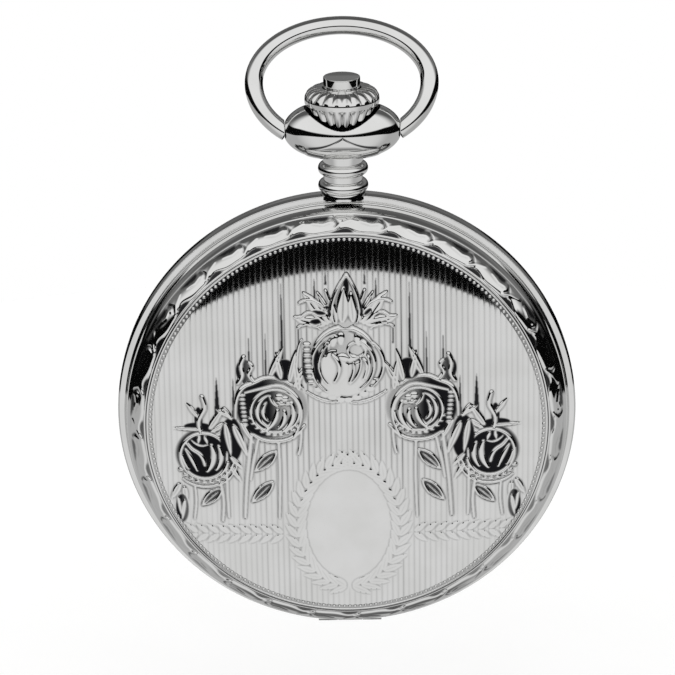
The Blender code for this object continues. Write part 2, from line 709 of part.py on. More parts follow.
def make_hinge_pins():
    """The two hinge pins."""
    half = HINGE_MIDDLE_LENGTH / 2 + HINGE_OUTER_LENGTH
    rod("lid_hinge_pin", HINGE_PIN_RADIUS, (-half, HINGE_Y, LID_HINGE_Z), (half, HINGE_Y, LID_HINGE_Z))
    rod("back_hinge_pin", HINGE_PIN_RADIUS, (-half, HINGE_Y, BACK_HINGE_Z),
        (half, HINGE_Y, BACK_HINGE_Z))


def make_front_glass():
    """The front bezel with its rehaut, and the domed crystal in it."""
    top = CRYSTAL_SEAT + BEZEL_HEIGHT
    lip = DIAL_RADIUS + 0.3 * MM
    groove = CRYSTAL_RADIUS + 0.1 * MM
    profile = [
        (BEZEL_RADIUS - COVER_SHOULDER_WIDTH / 2, top), (BEZEL_RADIUS, CRYSTAL_SEAT),
        (BEZEL_RADIUS, BEZEL_BACK),
        (RING_OUTER + 0.1 * MM, BEZEL_BACK), (RING_OUTER + 0.1 * MM, DIAL_BACK), (lip, DIAL_BACK),
        (lip, CRYSTAL_SEAT), (groove, CRYSTAL_SEAT), (groove, top),
    ]
    turned("front_bezel", profile, "polished_case")
    low = CRYSTAL_SEAT + SEAT_GAP
    turned("front_crystal", dome_profile(CRYSTAL_RADIUS, low, CRYSTAL_THICKNESS, CRYSTAL_RISE),
           "crystal")


def dome_profile(radius, low, thickness, rise):
    """Half section of a domed glass that rises towards its middle."""
    shares = (0.0, 0.6, 1.0)
    outer = [(radius * s, low + thickness + rise * (1 - s * s)) for s in shares]
    inner = [(radius * s, low + rise * (1 - s * s)) for s in reversed(shares)]
    return outer + inner


def make_back_glass():
    """The back bezel and the flat crystal over the movement."""
    front = MIDDLE_BACK - SEAT_GAP
    seat = front - BACK_BEZEL_DEPTH - CRYSTAL_THICKNESS / 2
    lip = BRIDGE_RADIUS + 0.2 * MM
    glass = lip + CRYSTAL_LEDGE
    back = seat - CRYSTAL_THICKNESS
    profile = [
        (glass + BACK_LIP + 0.35 * MM, back), (glass + 0.08 * MM, back), (glass + 0.08 * MM, seat),
        (lip, seat), (lip, seat + 0.3 * MM), (glass, seat + 0.3 * MM), (glass, front),
        (BEZEL_RADIUS, front), (BEZEL_RADIUS, front - BEZEL_HEIGHT),
    ]
    turned("back_bezel", profile, "polished_case")
    high = seat - SEAT_GAP
    turned("back_crystal", [(0, high), (glass, high), (glass, back), (0, back)], "crystal")


def make_movement_ring():
    """The ring that centres the movement in the case; its ledge stops the mainplate."""
    profile = [
        (RING_OUTER, DIAL_BACK - SEAT_GAP), (RING_OUTER, MIDDLE_BACK + 0.3 * MM),
        (RING_INNER, MIDDLE_BACK + 0.3 * MM), (RING_INNER, PLATE_FRONT + SEAT_GAP),
        (RING_INNER - RING_LEDGE, PLATE_FRONT + SEAT_GAP),
        (RING_INNER - RING_LEDGE, DIAL_BACK - SEAT_GAP),
    ]
    ring = turned("movement_ring", profile, "steel")
    cut(ring, rod("ring_stem_hole", STEM_RADIUS + 0.2 * MM, (0, RING_INNER - MM, MID),
                  (0, RING_OUTER + MM, MID)))


def sector(inner, outer, start, end, steps):
    """A bent strip's outline."""
    return arc((0, 0), outer, start, end, steps) + arc((0, 0), inner, end, start, steps)


def make_case_springs():
    """The lift spring that raises the lid, and the catch that the push-piece moves."""
    groove_outer = MIDDLE_RADIUS - SPRING_GROOVE_WALL
    low = MIDDLE_FRONT - SPRING_GROOVE_DEPTH + 0.15 * MM
    high = MIDDLE_FRONT - 0.1 * MM
    inner = groove_outer - SPRING_GROOVE_WIDTH + 0.3 * MM
    strip = sector(inner, groove_outer - 0.3 * MM, LIFT_SPRING_START, LIFT_SPRING_END + 1, 10)
    spring = plate("lift_spring", [strip], low, high, "spring_steel")
    join(spring, block("lift_finger", (inner + 0.1 * MM, -0.4 * MM, low + 0.1 * MM),
                       (MIDDLE_RADIUS, 0.4 * MM, high - 0.05 * MM), turn=math.radians(LIFT_SPRING_END)))
    half = CATCH_WIDTH / 2
    catch = block("lock_catch", (-half, CATCH_TOP - CATCH_THICKNESS, CATCH_BACK),
                  (half, CATCH_TOP, MIDDLE_FRONT - 0.1 * MM),
                  "spring_steel")
    nose_back = RIM_FRONT + 0.35 * MM
    join(catch, block("catch_nose", (-half * 0.8, CATCH_TOP - 0.5 * MM, nose_back),
                      (half * 0.8, MIDDLE_RADIUS, MIDDLE_FRONT - 0.15 * MM)))


# ---------------------------------------------------------------- pendant, crown and bow

def bead(centre, height, inner, outer, steps=3):
    """Half section of a rounded bead, from its top to its bottom."""
    points = []
    for i in range(steps + 1):
        angle = math.pi / 2 - math.pi * i / steps
        points.append((inner + (outer - inner) * math.cos(angle),
                       centre + height / 2 * math.sin(angle)))
    return points


def make_pendant_neck():
    """The neck with its two beads, cut to sit on the band."""
    bore = PUSH_TUBE_RADIUS + RUN_GAP + SLEEVE_WALL + SEAT_GAP
    base = COVER_RADIUS - 0.4 * MM
    profile = [(NECK_RADIUS, NECK_TOP)]
    profile += bead(NECK_UPPER_BEAD, NECK_BEAD_HEIGHT, NECK_RADIUS, NECK_BEAD_RADIUS)
    profile += bead(NECK_LOWER_BEAD, NECK_BEAD_HEIGHT, NECK_RADIUS, NECK_BEAD_RADIUS)
    profile += [(NECK_RADIUS + 0.35 * MM, CASE_RADIUS), (NECK_BASE_RADIUS, base), (bore, base),
                (bore, NECK_TOP)]
    neck = turned("pendant_neck", profile, "polished_case", SMALL_FACETS, "pendant")
    for name, radius, reach in (("cover_room", COVER_RADIUS + 0.2 * MM, CASE_THICKNESS),
                                ("band_seat", CASE_RADIUS + SEAT_GAP, BAND_HEIGHT + 0.1 * MM)):
        room = turned(name, [(0, reach / 2), (radius, reach / 2), (radius, -reach / 2),
                             (0, -reach / 2)],
                      "steel", frame="pendant", rotation=(math.pi / 2, 0, 0))
        cut(neck, room)


def make_stem_sleeve():
    """The sleeve screwed into the neck, in which the push-piece's tube slides."""
    inner = PUSH_TUBE_RADIUS + RUN_GAP
    washer("stem_sleeve", inner, inner + SLEEVE_WALL, NECK_LOWER_BEAD - 0.3 * MM, NECK_TOP, "steel",
           frame="pendant")


def collar_radius(along):
    """Radius of the collar's barrel at a distance from its middle."""
    sag = COLLAR_BELLY_RADIUS - COLLAR_END_RADIUS
    sphere = (COLLAR_HALF_LENGTH ** 2 + sag ** 2) / (2 * sag)
    return COLLAR_BELLY_RADIUS - (sphere - math.sqrt(sphere ** 2 - along ** 2))


def make_bow_collar():
    """The collar: a barrel that lies across the neck, cut out above as a cup for the crown."""
    steps = 8
    stations = [COLLAR_HALF_LENGTH * (1 - 2 * i / steps) for i in range(steps + 1)]
    profile = [(0, COLLAR_HALF_LENGTH)] + [(collar_radius(x), x) for x in stations]
    profile.append((0, -COLLAR_HALF_LENGTH))
    collar = turned("bow_collar", profile, "polished_case", SMALL_FACETS, "pendant",
                    (0, 0, PIVOT_HEIGHT),
                    (0, math.pi / 2, 0))
    join(collar, rod("collar_foot", NECK_RADIUS, (0, 0, NECK_TOP + SEAT_GAP), (0, 0, PIVOT_HEIGHT - MM),
                     facets=SMALL_FACETS, frame="pendant"))
    rim = CROWN_RADIUS + CUP_GAP
    floor = CROWN_BOTTOM - 0.2 * MM
    cone_top = CROWN_BOTTOM + CROWN_CONE_HEIGHT
    top = PIVOT_HEIGHT + COLLAR_BELLY_RADIUS + MM
    bore = PUSH_TUBE_RADIUS + RUN_GAP + SLEEVE_WALL + SEAT_GAP
    cup = turned("crown_cup", [(0, top), (rim, top), (rim, cone_top),
                               (CROWN_CONE_RADIUS + CUP_GAP, floor),
                               (bore, floor), (bore, NECK_TOP - MM), (0, NECK_TOP - MM)],
                 "steel", SMALL_FACETS, "pendant")
    cut(collar, cup)
    inner = COLLAR_HALF_LENGTH - BOW_PIN_LENGTH - 0.2 * MM
    for side in (-1, 1):
        cut(collar, rod("bow_hole", BOW_PIN_RADIUS + RUN_GAP, (side * inner, 0, PIVOT_HEIGHT),
                        (side * (COLLAR_HALF_LENGTH + MM), 0, PIVOT_HEIGHT), frame="pendant"))


def bow_path():
    """The bow's centre line above its pivot: a flatter half ellipse over a deeper one."""
    low = math.asin(BOW_CENTRE_RISE / BOW_LOWER_HEIGHT) + 0.16
    steps = 28
    points = []
    for i in range(steps + 1):
        angle = -low + (math.pi + 2 * low) * i / steps
        height = BOW_UPPER_HEIGHT if math.sin(angle) > 0 else BOW_LOWER_HEIGHT
        points.append((BOW_HALF_WIDTH * math.cos(angle), 0, BOW_CENTRE_RISE + height * math.sin(angle)))
    return points


def make_bow():
    """The bow, with the pins by which it swings in the collar."""
    place = (0, 0, PIVOT_HEIGHT)
    turn = (-BOW_TILT, 0, 0)
    bow = wire("bow", bow_path(), BOW_WIRE_RADIUS, "polished_case", 2, "pendant", place, turn)
    face = COLLAR_HALF_LENGTH + BOW_SIDE_GAP
    deep = COLLAR_BELLY_RADIUS
    room = block("collar_room", (-face, -deep, -deep), (face, deep, BOW_FACE_HEIGHT), frame="pendant")
    room.location = place
    room.rotation_euler = turn
    cut(bow, room)
    for side in (-1, 1):
        join(bow, rod("bow_pin", BOW_PIN_RADIUS,
                      (side * (COLLAR_HALF_LENGTH - BOW_PIN_LENGTH), 0, PIVOT_HEIGHT),
                      (side * (face + 0.5 * MM), 0, PIVOT_HEIGHT), frame="pendant"))


def fluted(name, rings, flutes, finish, frame):
    """A fluted turning: rings of (height, radius, flute depth), each a circle with hollows cut in."""
    mesh = bpy.data.meshes.new(name)
    form = bmesh.new()
    shape = (0.0, 0.0, 1.0)
    around = len(shape) * flutes
    loops = []
    for height, radius, depth in rings:
        loop = []
        for i in range(around):
            x, y = polar(radius - depth * shape[i % len(shape)], 2 * math.pi * i / around)
            loop.append(form.verts.new((x, y, height)))
        loops.append(loop)
    for lower, upper in zip(loops, loops[1:]):
        for i in range(around):
            j = (i + 1) % around
            form.faces.new((lower[i], lower[j], upper[j], upper[i]))
    form.faces.new(loops[0][::-1])
    form.faces.new(loops[-1])
    form.to_mesh(mesh)
    form.free()
    return piece(name, mesh, finish, frame)


def make_crown():
    """The onion crown: a fluted cone under a fluted dome, hollow for the push-piece."""
    depth = CROWN_FLUTE_DEPTH
    cone_top = CROWN_BOTTOM + CROWN_CONE_HEIGHT
    rings = [
        (CROWN_BOTTOM, CROWN_CONE_RADIUS, depth),
        (CROWN_BOTTOM + CROWN_CONE_HEIGHT * 0.5, (CROWN_CONE_RADIUS + CROWN_RADIUS) / 2 + 0.2 * MM,
         depth),
        (cone_top, CROWN_RADIUS - 0.05 * MM, depth / 2),
        (CROWN_EQUATOR, CROWN_RADIUS, 0.0),
        (CROWN_EQUATOR + CROWN_DOME_HEIGHT * 0.6, CROWN_RADIUS - 0.6 * MM, depth),
        (CROWN_TOP, CROWN_TOP_RADIUS, 0.0),
    ]
    crown = fluted("crown", rings, CROWN_FLUTES, "polished_case", "pendant")
    wide = PUSH_RADIUS + 0.1 * MM
    narrow = PUSH_TUBE_RADIUS + 0.1 * MM
    shelf = CROWN_TOP - PUSH_SKIRT - PUSH_TRAVEL - 0.15 * MM
    hollow = turned("crown_hollow", [(0, CROWN_TOP + MM), (wide, CROWN_TOP + MM), (wide, shelf),
                                     (narrow, shelf),
                                     (narrow, CROWN_BOTTOM - MM), (0, CROWN_BOTTOM - MM)],
                    "steel", SMALL_FACETS, "pendant")
    cut(crown, hollow)
    reach = CROWN_RADIUS
    cut(crown, rod("cross_hole", CROSS_PIN_RADIUS + RUN_GAP, (-reach, 0, CROSS_PIN_HEIGHT),
                   (reach, 0, CROSS_PIN_HEIGHT), frame="pendant"))


def make_push_piece():
    """The push-piece: a cap in the crown's top on a tube with two slots for the cross pin."""
    low = CROWN_TOP - PUSH_SKIRT
    blind = STEM_TOP + PUSH_TRAVEL + 0.2 * MM
    edge = 0.1 * MM
    profile = [
        (0, PUSH_TOP), (PUSH_RADIUS - edge, PUSH_TOP), (PUSH_RADIUS, PUSH_TOP - edge),
        (PUSH_RADIUS, low),
        (PUSH_TUBE_RADIUS, low), (PUSH_TUBE_RADIUS, PUSH_BOTTOM), (PUSH_BORE, PUSH_BOTTOM),
        (PUSH_BORE, blind), (0, blind),
    ]
    push = turned("push_piece", profile, "polished_case", SMALL_FACETS, "pendant")
    half = CROSS_PIN_RADIUS + 0.1 * MM
    cut(push, block("pin_slot", (-PUSH_TUBE_RADIUS - MM, -half, CROSS_PIN_HEIGHT - half),
                    (PUSH_TUBE_RADIUS + MM, half, CROSS_PIN_HEIGHT + half + PUSH_TRAVEL),
                    frame="pendant"))


def make_winding_stem():
    """The winding stem with its square, and the pin that ties it to the crown."""
    shoulder = PINION_HIGH + CROWN_PULL + 1.2 * MM
    stem = rod("winding_stem", STEM_RADIUS, (0, 0, shoulder), (0, 0, STEM_TOP), frame="pendant")
    half = STEM_SQUARE / 2
    join(stem, block("stem_square", (-half, -half, STEM_BOTTOM), (half, half, shoulder + 0.3 * MM),
                     frame="pendant"))
    reach = PUSH_TUBE_RADIUS + 1.3 * MM
    cut(stem, rod("stem_cross_hole", CROSS_PIN_RADIUS + 0.02 * MM, (-MM, 0, CROSS_PIN_HEIGHT),
                  (MM, 0, CROSS_PIN_HEIGHT), facets=8, frame="pendant"))
    rod("crown_pin", CROSS_PIN_RADIUS, (-reach, 0, CROSS_PIN_HEIGHT), (reach, 0, CROSS_PIN_HEIGHT),
        facets=8, frame="pendant")


def make_winding_pinion():
    """The pinion that the stem's square turns."""
    outline = gear(WINDING_TEETH, WINDING_MODULE * 0.95, 0.0)
    half = STEM_SQUARE / 2 + RUN_GAP
    square = [(-half, -half), (half, -half), (half, half), (-half, half)]
    plate("winding_pinion", [outline, square], PINION_LOW, PINION_HIGH, "steel", frame="pendant")


# ---------------------------------------------------------------- plates and bridges

def foot_sector(start, end):
    """A bridge's foot along the rim of the mainplate."""
    return plate("foot", [sector(BRIDGE_RADIUS - FOOT_WIDTH, BRIDGE_RADIUS, start, end, 6)],
                 BRIDGE_FRONT - 0.1 * MM, PLATE_BACK - SEAT_GAP, "nickel_plate")


def make_mainplate():
    """The mainplate: bores, a window for the winding pinion and two bearings for the stem."""
    holes = [circle(CENTRE_ARBOR_RADIUS + 0.1 * MM), circle(ARBOR_RADIUS, 12, FOURTH)]
    main = plate("mainplate", [circle(PLATE_RADIUS, CASE_FACETS)] + holes, PLATE_BACK, PLATE_FRONT,
                 "nickel_plate")
    gap = 0.15 * MM
    wide = WINDING_TEETH * WINDING_MODULE / 2 + 0.5 * MM
    cut(main, block("pinion_window", (-wide, PINION_LOW - gap, PLATE_BACK - MM),
                    (wide, PINION_HIGH + gap, PLATE_FRONT + MM)))
    deep = MID - STEM_RADIUS - 0.45 * MM
    for low, high in ((PINION_LOW - 0.9 * MM, PINION_LOW - gap),
                      (PINION_HIGH + gap, PINION_HIGH + 1.0 * MM)):
        join(main, block("stem_bearing", (-MM, low, deep), (MM, high, PLATE_BACK + 0.1 * MM)))
    cut(main, rod("stem_bore", STEM_RADIUS + RUN_GAP, (0, PINION_LOW - 2 * MM, MID),
                  (0, PINION_HIGH + 2 * MM, MID),
                  facets=16))
    join(main, rod("minute_post", ARBOR_RADIUS, (*MINUTE, PLATE_FRONT - 0.2 * MM),
                   (*MINUTE, DIAL_BACK - 0.1 * MM)))


def make_barrel_bridge():
    """The bridge over the barrel, with the seats of the ratchet and crown wheels."""
    edge = BRIDGE_CHORD
    start = math.degrees(math.asin(edge / BRIDGE_RADIUS))
    outline = arc((0, 0), BRIDGE_RADIUS, start, 180 - start, 14)
    bore = circle(BARREL_ARBOR_RADIUS + RUN_GAP, SMALL_FACETS, BARREL)
    bridge = plate("barrel_bridge", [outline, bore], BRIDGE_BACK, BRIDGE_FRONT, "nickel_plate")
    join(bridge, foot_sector(start + 8, 82), foot_sector(98, 172 - start))
    wide = WINDING_TEETH * WINDING_MODULE / 2 + 0.5 * MM
    cut(bridge, block("pinion_room", (-wide, PINION_LOW - 0.1 * MM, BRIDGE_BACK - MM),
                      (wide, PINION_HIGH + 0.2 * MM, BRIDGE_FRONT + 0.1 * MM)))
    for place in BARREL_BRIDGE_SCREWS + (CROWN_WHEEL, CLICK):
        cut(bridge, screw_hole(place, BRIDGE_BACK))


def screw_hole(place, surface, depth=SCREW_SHANK_LENGTH):
    """The bore for a screw's shank."""
    return rod("screw_hole", SCREW_SHANK_RADIUS + RUN_GAP, (*place, surface - 0.2 * MM),
               (*place, surface + depth + 0.1 * MM), facets=10)


def make_train_bridge():
    """The bridge over the centre, third, fourth and escape wheels."""
    room = BALANCE_RADIUS + 0.5 * MM
    rim_end = -112
    top = BRIDGE_CHORD - 0.5 * MM
    start = math.degrees(math.asin(top / BRIDGE_RADIUS))
    outline = [(-2.4 * MM, top)]
    outline += arc((0, 0), BRIDGE_RADIUS, start, rim_end, 16)
    outline += arc(BALANCE, room, -72, 28, 7)
    holes = [circle(JEWEL_RADIUS + SEAT_GAP, 12, place) for place in (THIRD, FOURTH, ESCAPE)]
    holes.append(circle(CENTRE_ARBOR_RADIUS + RUN_GAP, 12))
    bridge = plate("train_bridge", [outline] + holes, BRIDGE_BACK, BRIDGE_FRONT, "nickel_plate")
    join(bridge, foot_sector(-15, -100))
    cut(bridge, screw_hole(TRAIN_BRIDGE_SCREW, BRIDGE_BACK))


def make_balance_cock():
    """The cock that carries the balance, with its foot and the stud of the hairspring."""
    outline = drop(COCK_FOOT, COCK_FOOT_RADIUS, BALANCE, 1.4 * MM)
    cock = plate("balance_cock", [outline, circle(JEWEL_RADIUS + SEAT_GAP, 16, BALANCE)],
                 COCK_BACK, COCK_FRONT, "nickel_plate")
    join(cock, rod("cock_foot", COCK_FOOT_RADIUS, (*COCK_FOOT, COCK_FRONT - 0.2 * MM),
                   (*COCK_FOOT, PLATE_BACK - SEAT_GAP), facets=SMALL_FACETS))
    stud = moved(BALANCE, hairspring_outer() + 0.35 * MM, COCK_FOOT_ANGLE)
    join(cock, rod("hairspring_stud", 0.2 * MM, (*stud, COCK_FRONT - 0.1 * MM),
                   (*stud, BALANCE_BACK - 0.08 * MM),
                   facets=8))
    cut(cock, screw_hole(COCK_FOOT, COCK_BACK))


def make_pallet_bridge():
    """The small bridge over the pallet fork."""
    foot = moved(PALLET, PALLET_FOOT_DISTANCE, LEVER_ANGLE + math.radians(80))
    low = MID - 0.85 * MM
    bridge = plate("pallet_bridge", [drop(foot, PALLET_FOOT_RADIUS, PALLET, 0.7 * PALLET_FOOT_RADIUS)],
                   low, low + 0.35 * MM, "nickel_plate")
    join(bridge, rod("pallet_foot", PALLET_FOOT_RADIUS, (*foot, low + 0.2 * MM),
                     (*foot, PLATE_BACK - SEAT_GAP), facets=16))


def make_dial():
    """The dial, with holes for the hands' arbors and two feet on the mainplate."""
    pipe = CENTRE_ARBOR_RADIUS + RUN_GAP + CANNON_WALL + RUN_GAP + HOUR_PIPE_WALL + 0.1 * MM
    dial = plate("dial", [circle(DIAL_RADIUS, CASE_FACETS), circle(pipe, 16),
                          circle(ARBOR_RADIUS + 0.1 * MM, 10, FOURTH)],
                 DIAL_BACK, DIAL_FRONT, "dial_enamel")
    for angle in (25, 205):
        x, y = polar(DIAL_RADIUS * 0.75, math.radians(angle))
        join(dial, rod("dial_foot", 0.4 * MM, (x, y, PLATE_FRONT + SEAT_GAP),
                       (x, y, DIAL_BACK + 0.2 * MM), facets=10))


def make_screw(name, place, surface, shank=SCREW_SHANK_LENGTH):
    """A slotted screw whose head lies on a surface at the back of the movement."""
    head = surface - SEAT_GAP
    top = head - SCREW_HEAD_HEIGHT
    profile = [
        (0, head + shank), (SCREW_SHANK_RADIUS, head + shank), (SCREW_SHANK_RADIUS, head),
        (SCREW_HEAD_RADIUS, head), (SCREW_HEAD_RADIUS, top), (0, top),
    ]
    screw = turned(name, profile, "steel", PIN_FACETS, location=(*place, 0))
    half = SCREW_SLOT_WIDTH / 2
    slot = block("screw_slot", (-MM, -half, top - 0.1 * MM), (MM, half, top + 0.15 * MM))
    slot.location = (place[0], place[1], top + 0.025 * MM)
    cut(screw, slot)


def make_screws():
    """The screws of the bridges, the cock and the winding wheels."""
    make_screw("barrel_bridge_screw_left", BARREL_BRIDGE_SCREWS[1], BRIDGE_BACK)
    make_screw("barrel_bridge_screw_right", BARREL_BRIDGE_SCREWS[0], BRIDGE_BACK)
    make_screw("train_bridge_screw", TRAIN_BRIDGE_SCREW, BRIDGE_BACK)
    make_screw("balance_cock_screw", COCK_FOOT, COCK_BACK)
    make_screw("crown_wheel_screw", CROWN_WHEEL, RATCHET_BACK, RATCHET_THICKNESS + 0.4 * MM)
    make_screw("ratchet_screw", BARREL, RATCHET_BACK, RATCHET_THICKNESS + 0.3 * MM)
    make_screw("click_screw", CLICK, RATCHET_BACK, RATCHET_THICKNESS + 0.4 * MM)


def make_jewels():
    """The jewels that the pivots run in."""
    for name, place, back in (("third_jewel", THIRD, BRIDGE_BACK),
                              ("fourth_jewel", FOURTH, BRIDGE_BACK),
                              ("escape_jewel", ESCAPE, BRIDGE_BACK),
                              ("balance_jewel", BALANCE, COCK_BACK)):
        washer(name, PIVOT_RADIUS + RUN_GAP, JEWEL_RADIUS, back + 0.05 * MM,
               back + BRIDGE_THICKNESS - 0.05 * MM, "ruby", 12,
               location=(*place, 0))


# ---------------------------------------------------------------- winding, power and train

def arbor(name, back, front, pivot_back, radius=ARBOR_RADIUS, place=(0, 0)):
    """An arbor with a thin pivot in its jewel."""
    profile = [(0, front), (radius, front), (radius, back), (PIVOT_RADIUS, back),
               (PIVOT_RADIUS, pivot_back),
               (0, pivot_back)]
    return turned(name, profile, "steel", PIN_FACETS, location=(*place, 0))


def wheel(name, outline, radius, low, place, finish="brass_wheel", arms=4):
    """A wheel with crossings between its arms."""
    openings = windows(arms, radius * 0.32, radius * 0.78, radius * 0.14)
    return plate(name, [outline] + openings, low, low + WHEEL_THICKNESS, finish, place)


def pinion(outline, low, high, place):
    """A pinion's leaves, joined to its wheel."""
    return plate("pinion_leaves", [outline], low, high, "steel", place)


def make_centre_wheel():
    """The centre wheel, its pinion, and the arbor that carries the cannon pinion."""
    radius = CENTRE_TEETH * CENTRE_MODULE / 2
    outline = gear(CENTRE_TEETH, CENTRE_MODULE, gap_towards(CENTRE, THIRD, CENTRE_TEETH), pointed=True)
    centre = wheel("centre_wheel", outline, radius, CENTRE_WHEEL_BACK, CENTRE)
    leaves = gear(CENTRE_PINION_TEETH, BARREL_MODULE, towards(CENTRE, BARREL))
    join(centre, pinion(leaves, CENTRE_WHEEL_BACK + WHEEL_THICKNESS / 2, PLATE_BACK - 0.1 * MM, CENTRE))
    join(centre, rod("centre_arbor", CENTRE_ARBOR_RADIUS, (0, 0, BRIDGE_BACK + 0.1 * MM),
                     (0, 0, MINUTE_HAND_BACK + HAND_THICKNESS), facets=16))


def make_third_wheel():
    """The third wheel and pinion."""
    radius = THIRD_TEETH * THIRD_MODULE / 2
    outline = gear(THIRD_TEETH, THIRD_MODULE, gap_towards(THIRD, FOURTH, THIRD_TEETH), pointed=True)
    third = wheel("third_wheel", outline, radius, THIRD_WHEEL_BACK, THIRD)
    leaves = gear(THIRD_PINION_TEETH, CENTRE_MODULE, towards(THIRD, CENTRE))
    join(third, pinion(leaves, CENTRE_WHEEL_BACK - 0.05 * MM,
                       CENTRE_WHEEL_BACK + WHEEL_THICKNESS + 0.08 * MM, THIRD))
    join(third, arbor("third_arbor", BRIDGE_FRONT + 0.05 * MM, PLATE_BACK - SEAT_GAP,
                      BRIDGE_BACK + 0.1 * MM, place=THIRD))


def make_fourth_wheel():
    """The fourth wheel, whose long arbor carries the seconds hand."""
    radius = FOURTH_TEETH * FOURTH_MODULE / 2
    outline = gear(FOURTH_TEETH, FOURTH_MODULE, gap_towards(FOURTH, ESCAPE, FOURTH_TEETH), pointed=True)
    fourth = wheel("fourth_wheel", outline, radius, FOURTH_WHEEL_BACK, FOURTH)
    leaves = gear(FOURTH_PINION_TEETH, THIRD_MODULE, towards(FOURTH, THIRD))
    join(fourth, pinion(leaves, THIRD_WHEEL_BACK - 0.05 * MM, PLATE_BACK - 0.1 * MM, FOURTH))
    join(fourth, arbor("fourth_arbor", BRIDGE_FRONT + 0.05 * MM, PLATE_BACK - SEAT_GAP,
                       BRIDGE_BACK + 0.1 * MM, place=FOURTH))
    join(fourth, rod("seconds_pivot", PIVOT_RADIUS, (*FOURTH, PLATE_BACK - 0.3 * MM),
                     (*FOURTH, SECONDS_HAND_BACK + HAND_THICKNESS), facets=8))


def make_escape_wheel():
    """The escape wheel with its pinion."""
    outline = saw(ESCAPE_TEETH, ESCAPE_RADIUS, ESCAPE_RADIUS * 0.8, LEVER_ANGLE, -0.25)
    escape = wheel("escape_wheel", outline, ESCAPE_RADIUS * 0.85, ESCAPE_WHEEL_BACK, ESCAPE, "steel")
    leaves = gear(ESCAPE_PINION_TEETH, FOURTH_MODULE, towards(ESCAPE, FOURTH))
    join(escape, pinion(leaves, FOURTH_WHEEL_BACK - 0.08 * MM,
                        FOURTH_WHEEL_BACK + WHEEL_THICKNESS + 0.1 * MM, ESCAPE))
    join(escape, arbor("escape_arbor", BRIDGE_FRONT + 0.05 * MM, PLATE_BACK - SEAT_GAP,
                       BRIDGE_BACK + 0.1 * MM, place=ESCAPE))


def make_pallet_fork():
    """The pallet fork: two arms with their stones held just clear of the wheel, and the fork."""
    notch = FORK_NOTCH_WIDTH / 2
    half = [(FORK_REACH - FORK_NOTCH_DEPTH, notch), (FORK_REACH, notch), (FORK_REACH, FORK_WIDTH / 2)]
    shank = [(1.8, 0.26), (0.45, 0.16), (0.3, 0.42), (-0.1, 0.55), (-0.34, 1.42), (-0.52, 1.55),
             (-0.66, 1.42),
             (-0.34, 0.4)]
    upper = half + [(x * MM, y * MM) for x, y in shank]
    outline = upper + [(x, -y) for x, y in reversed(upper)]
    low = ESCAPE_WHEEL_BACK - 0.05 * MM
    fork = plate("pallet_fork", [outline], low, low + 0.3 * MM, "steel", PALLET,
                 rotation=(0, 0, LEVER_ANGLE))
    join(fork, rod("pallet_arbor", PIVOT_RADIUS, (*PALLET, MID - 0.42 * MM),
                   (*PALLET, PLATE_BACK - SEAT_GAP), facets=8))


def make_balance():
    """The balance wheel with its staff, roller and impulse pin."""
    outer = BALANCE_RADIUS
    inner = BALANCE_RADIUS - BALANCE_RIM
    arms = windows(2, 0.75 * MM, inner, 0.6 * MM, 7)
    balance = plate("balance_wheel", [circle(outer, CASE_FACETS)] + arms, BALANCE_BACK, BALANCE_FRONT,
                    "brass_wheel", BALANCE)
    join(balance, arbor("balance_staff", COCK_FRONT + 0.05 * MM, PLATE_BACK - SEAT_GAP,
                        COCK_BACK + 0.1 * MM, place=BALANCE))
    roller_front = ESCAPE_WHEEL_BACK - 0.2 * MM
    join(balance, rod("roller", 0.8 * MM, (*BALANCE, roller_front - 0.3 * MM), (*BALANCE, roller_front),
                      facets=16))
    pin = moved(BALANCE, 0.55 * MM, LEVER_ANGLE + math.pi)
    join(balance, rod("impulse_pin", 0.09 * MM, (*pin, roller_front - 0.1 * MM),
                      (*pin, ESCAPE_WHEEL_BACK + 0.2 * MM), facets=6))


def hairspring_outer():
    """Radius of the hairspring's outermost coil."""
    return HAIRSPRING_INNER_RADIUS + HAIRSPRING_TURNS * HAIRSPRING_PITCH


def spiral(turns, inner, pitch, level, start, steps):
    """Points of a flat spiral that grows by its pitch with each turn."""
    points = []
    for i in range(turns * steps + 1):
        turn = i / steps
        x, y = polar(inner + pitch * turn, start + 2 * math.pi * turn)
        points.append((x, y, level))
    return points


def least_gap(points, thickness, steps):
    """The smallest clear space between one turn's straight steps and the next turn's."""
    ahead = points[steps:]
    return min(math.dist(a, b) for a, b in zip(points, ahead)) * math.cos(math.pi / steps) - thickness


def make_springs():
    """The hairspring and the mainspring, each one unbroken strip."""
    steps = 12
    hair = spiral(HAIRSPRING_TURNS, HAIRSPRING_INNER_RADIUS, HAIRSPRING_PITCH, HAIRSPRING_LEVEL,
                  COCK_FOOT_ANGLE, steps)
    wire("hairspring", hair, HAIRSPRING_WIRE, "spring_steel", 0, location=(*BALANCE, 0))
    inner = BARREL_ARBOR_RADIUS + 0.3 * MM
    outer = barrel_inner() - 0.3 * MM
    pitch = (outer - inner) / MAINSPRING_TURNS
    level = (BARREL_BACK + 0.2 * MM + BARREL_FRONT - BARREL_WALL) / 2
    main = spiral(MAINSPRING_TURNS, inner, pitch, level, 0.0, steps)
    wire("mainspring", main, MAINSPRING_STRIP, "spring_steel", 0, location=(*BARREL, 0))
    for name, points, thickness in (("hairspring", hair, 2 * HAIRSPRING_WIRE),
                                    ("mainspring", main, 2 * MAINSPRING_STRIP)):
        gap = least_gap(points, thickness, steps)
        print(name, "least gap to itself", round(gap / MM, 3), "mm, wanted over", LEAST_COIL_GAP / MM)


def barrel_inner():
    """Inner radius of the barrel's drum."""
    return (BARREL_TEETH / 2 - DEDENDUM) * BARREL_MODULE - 0.1 * MM - BARREL_WALL


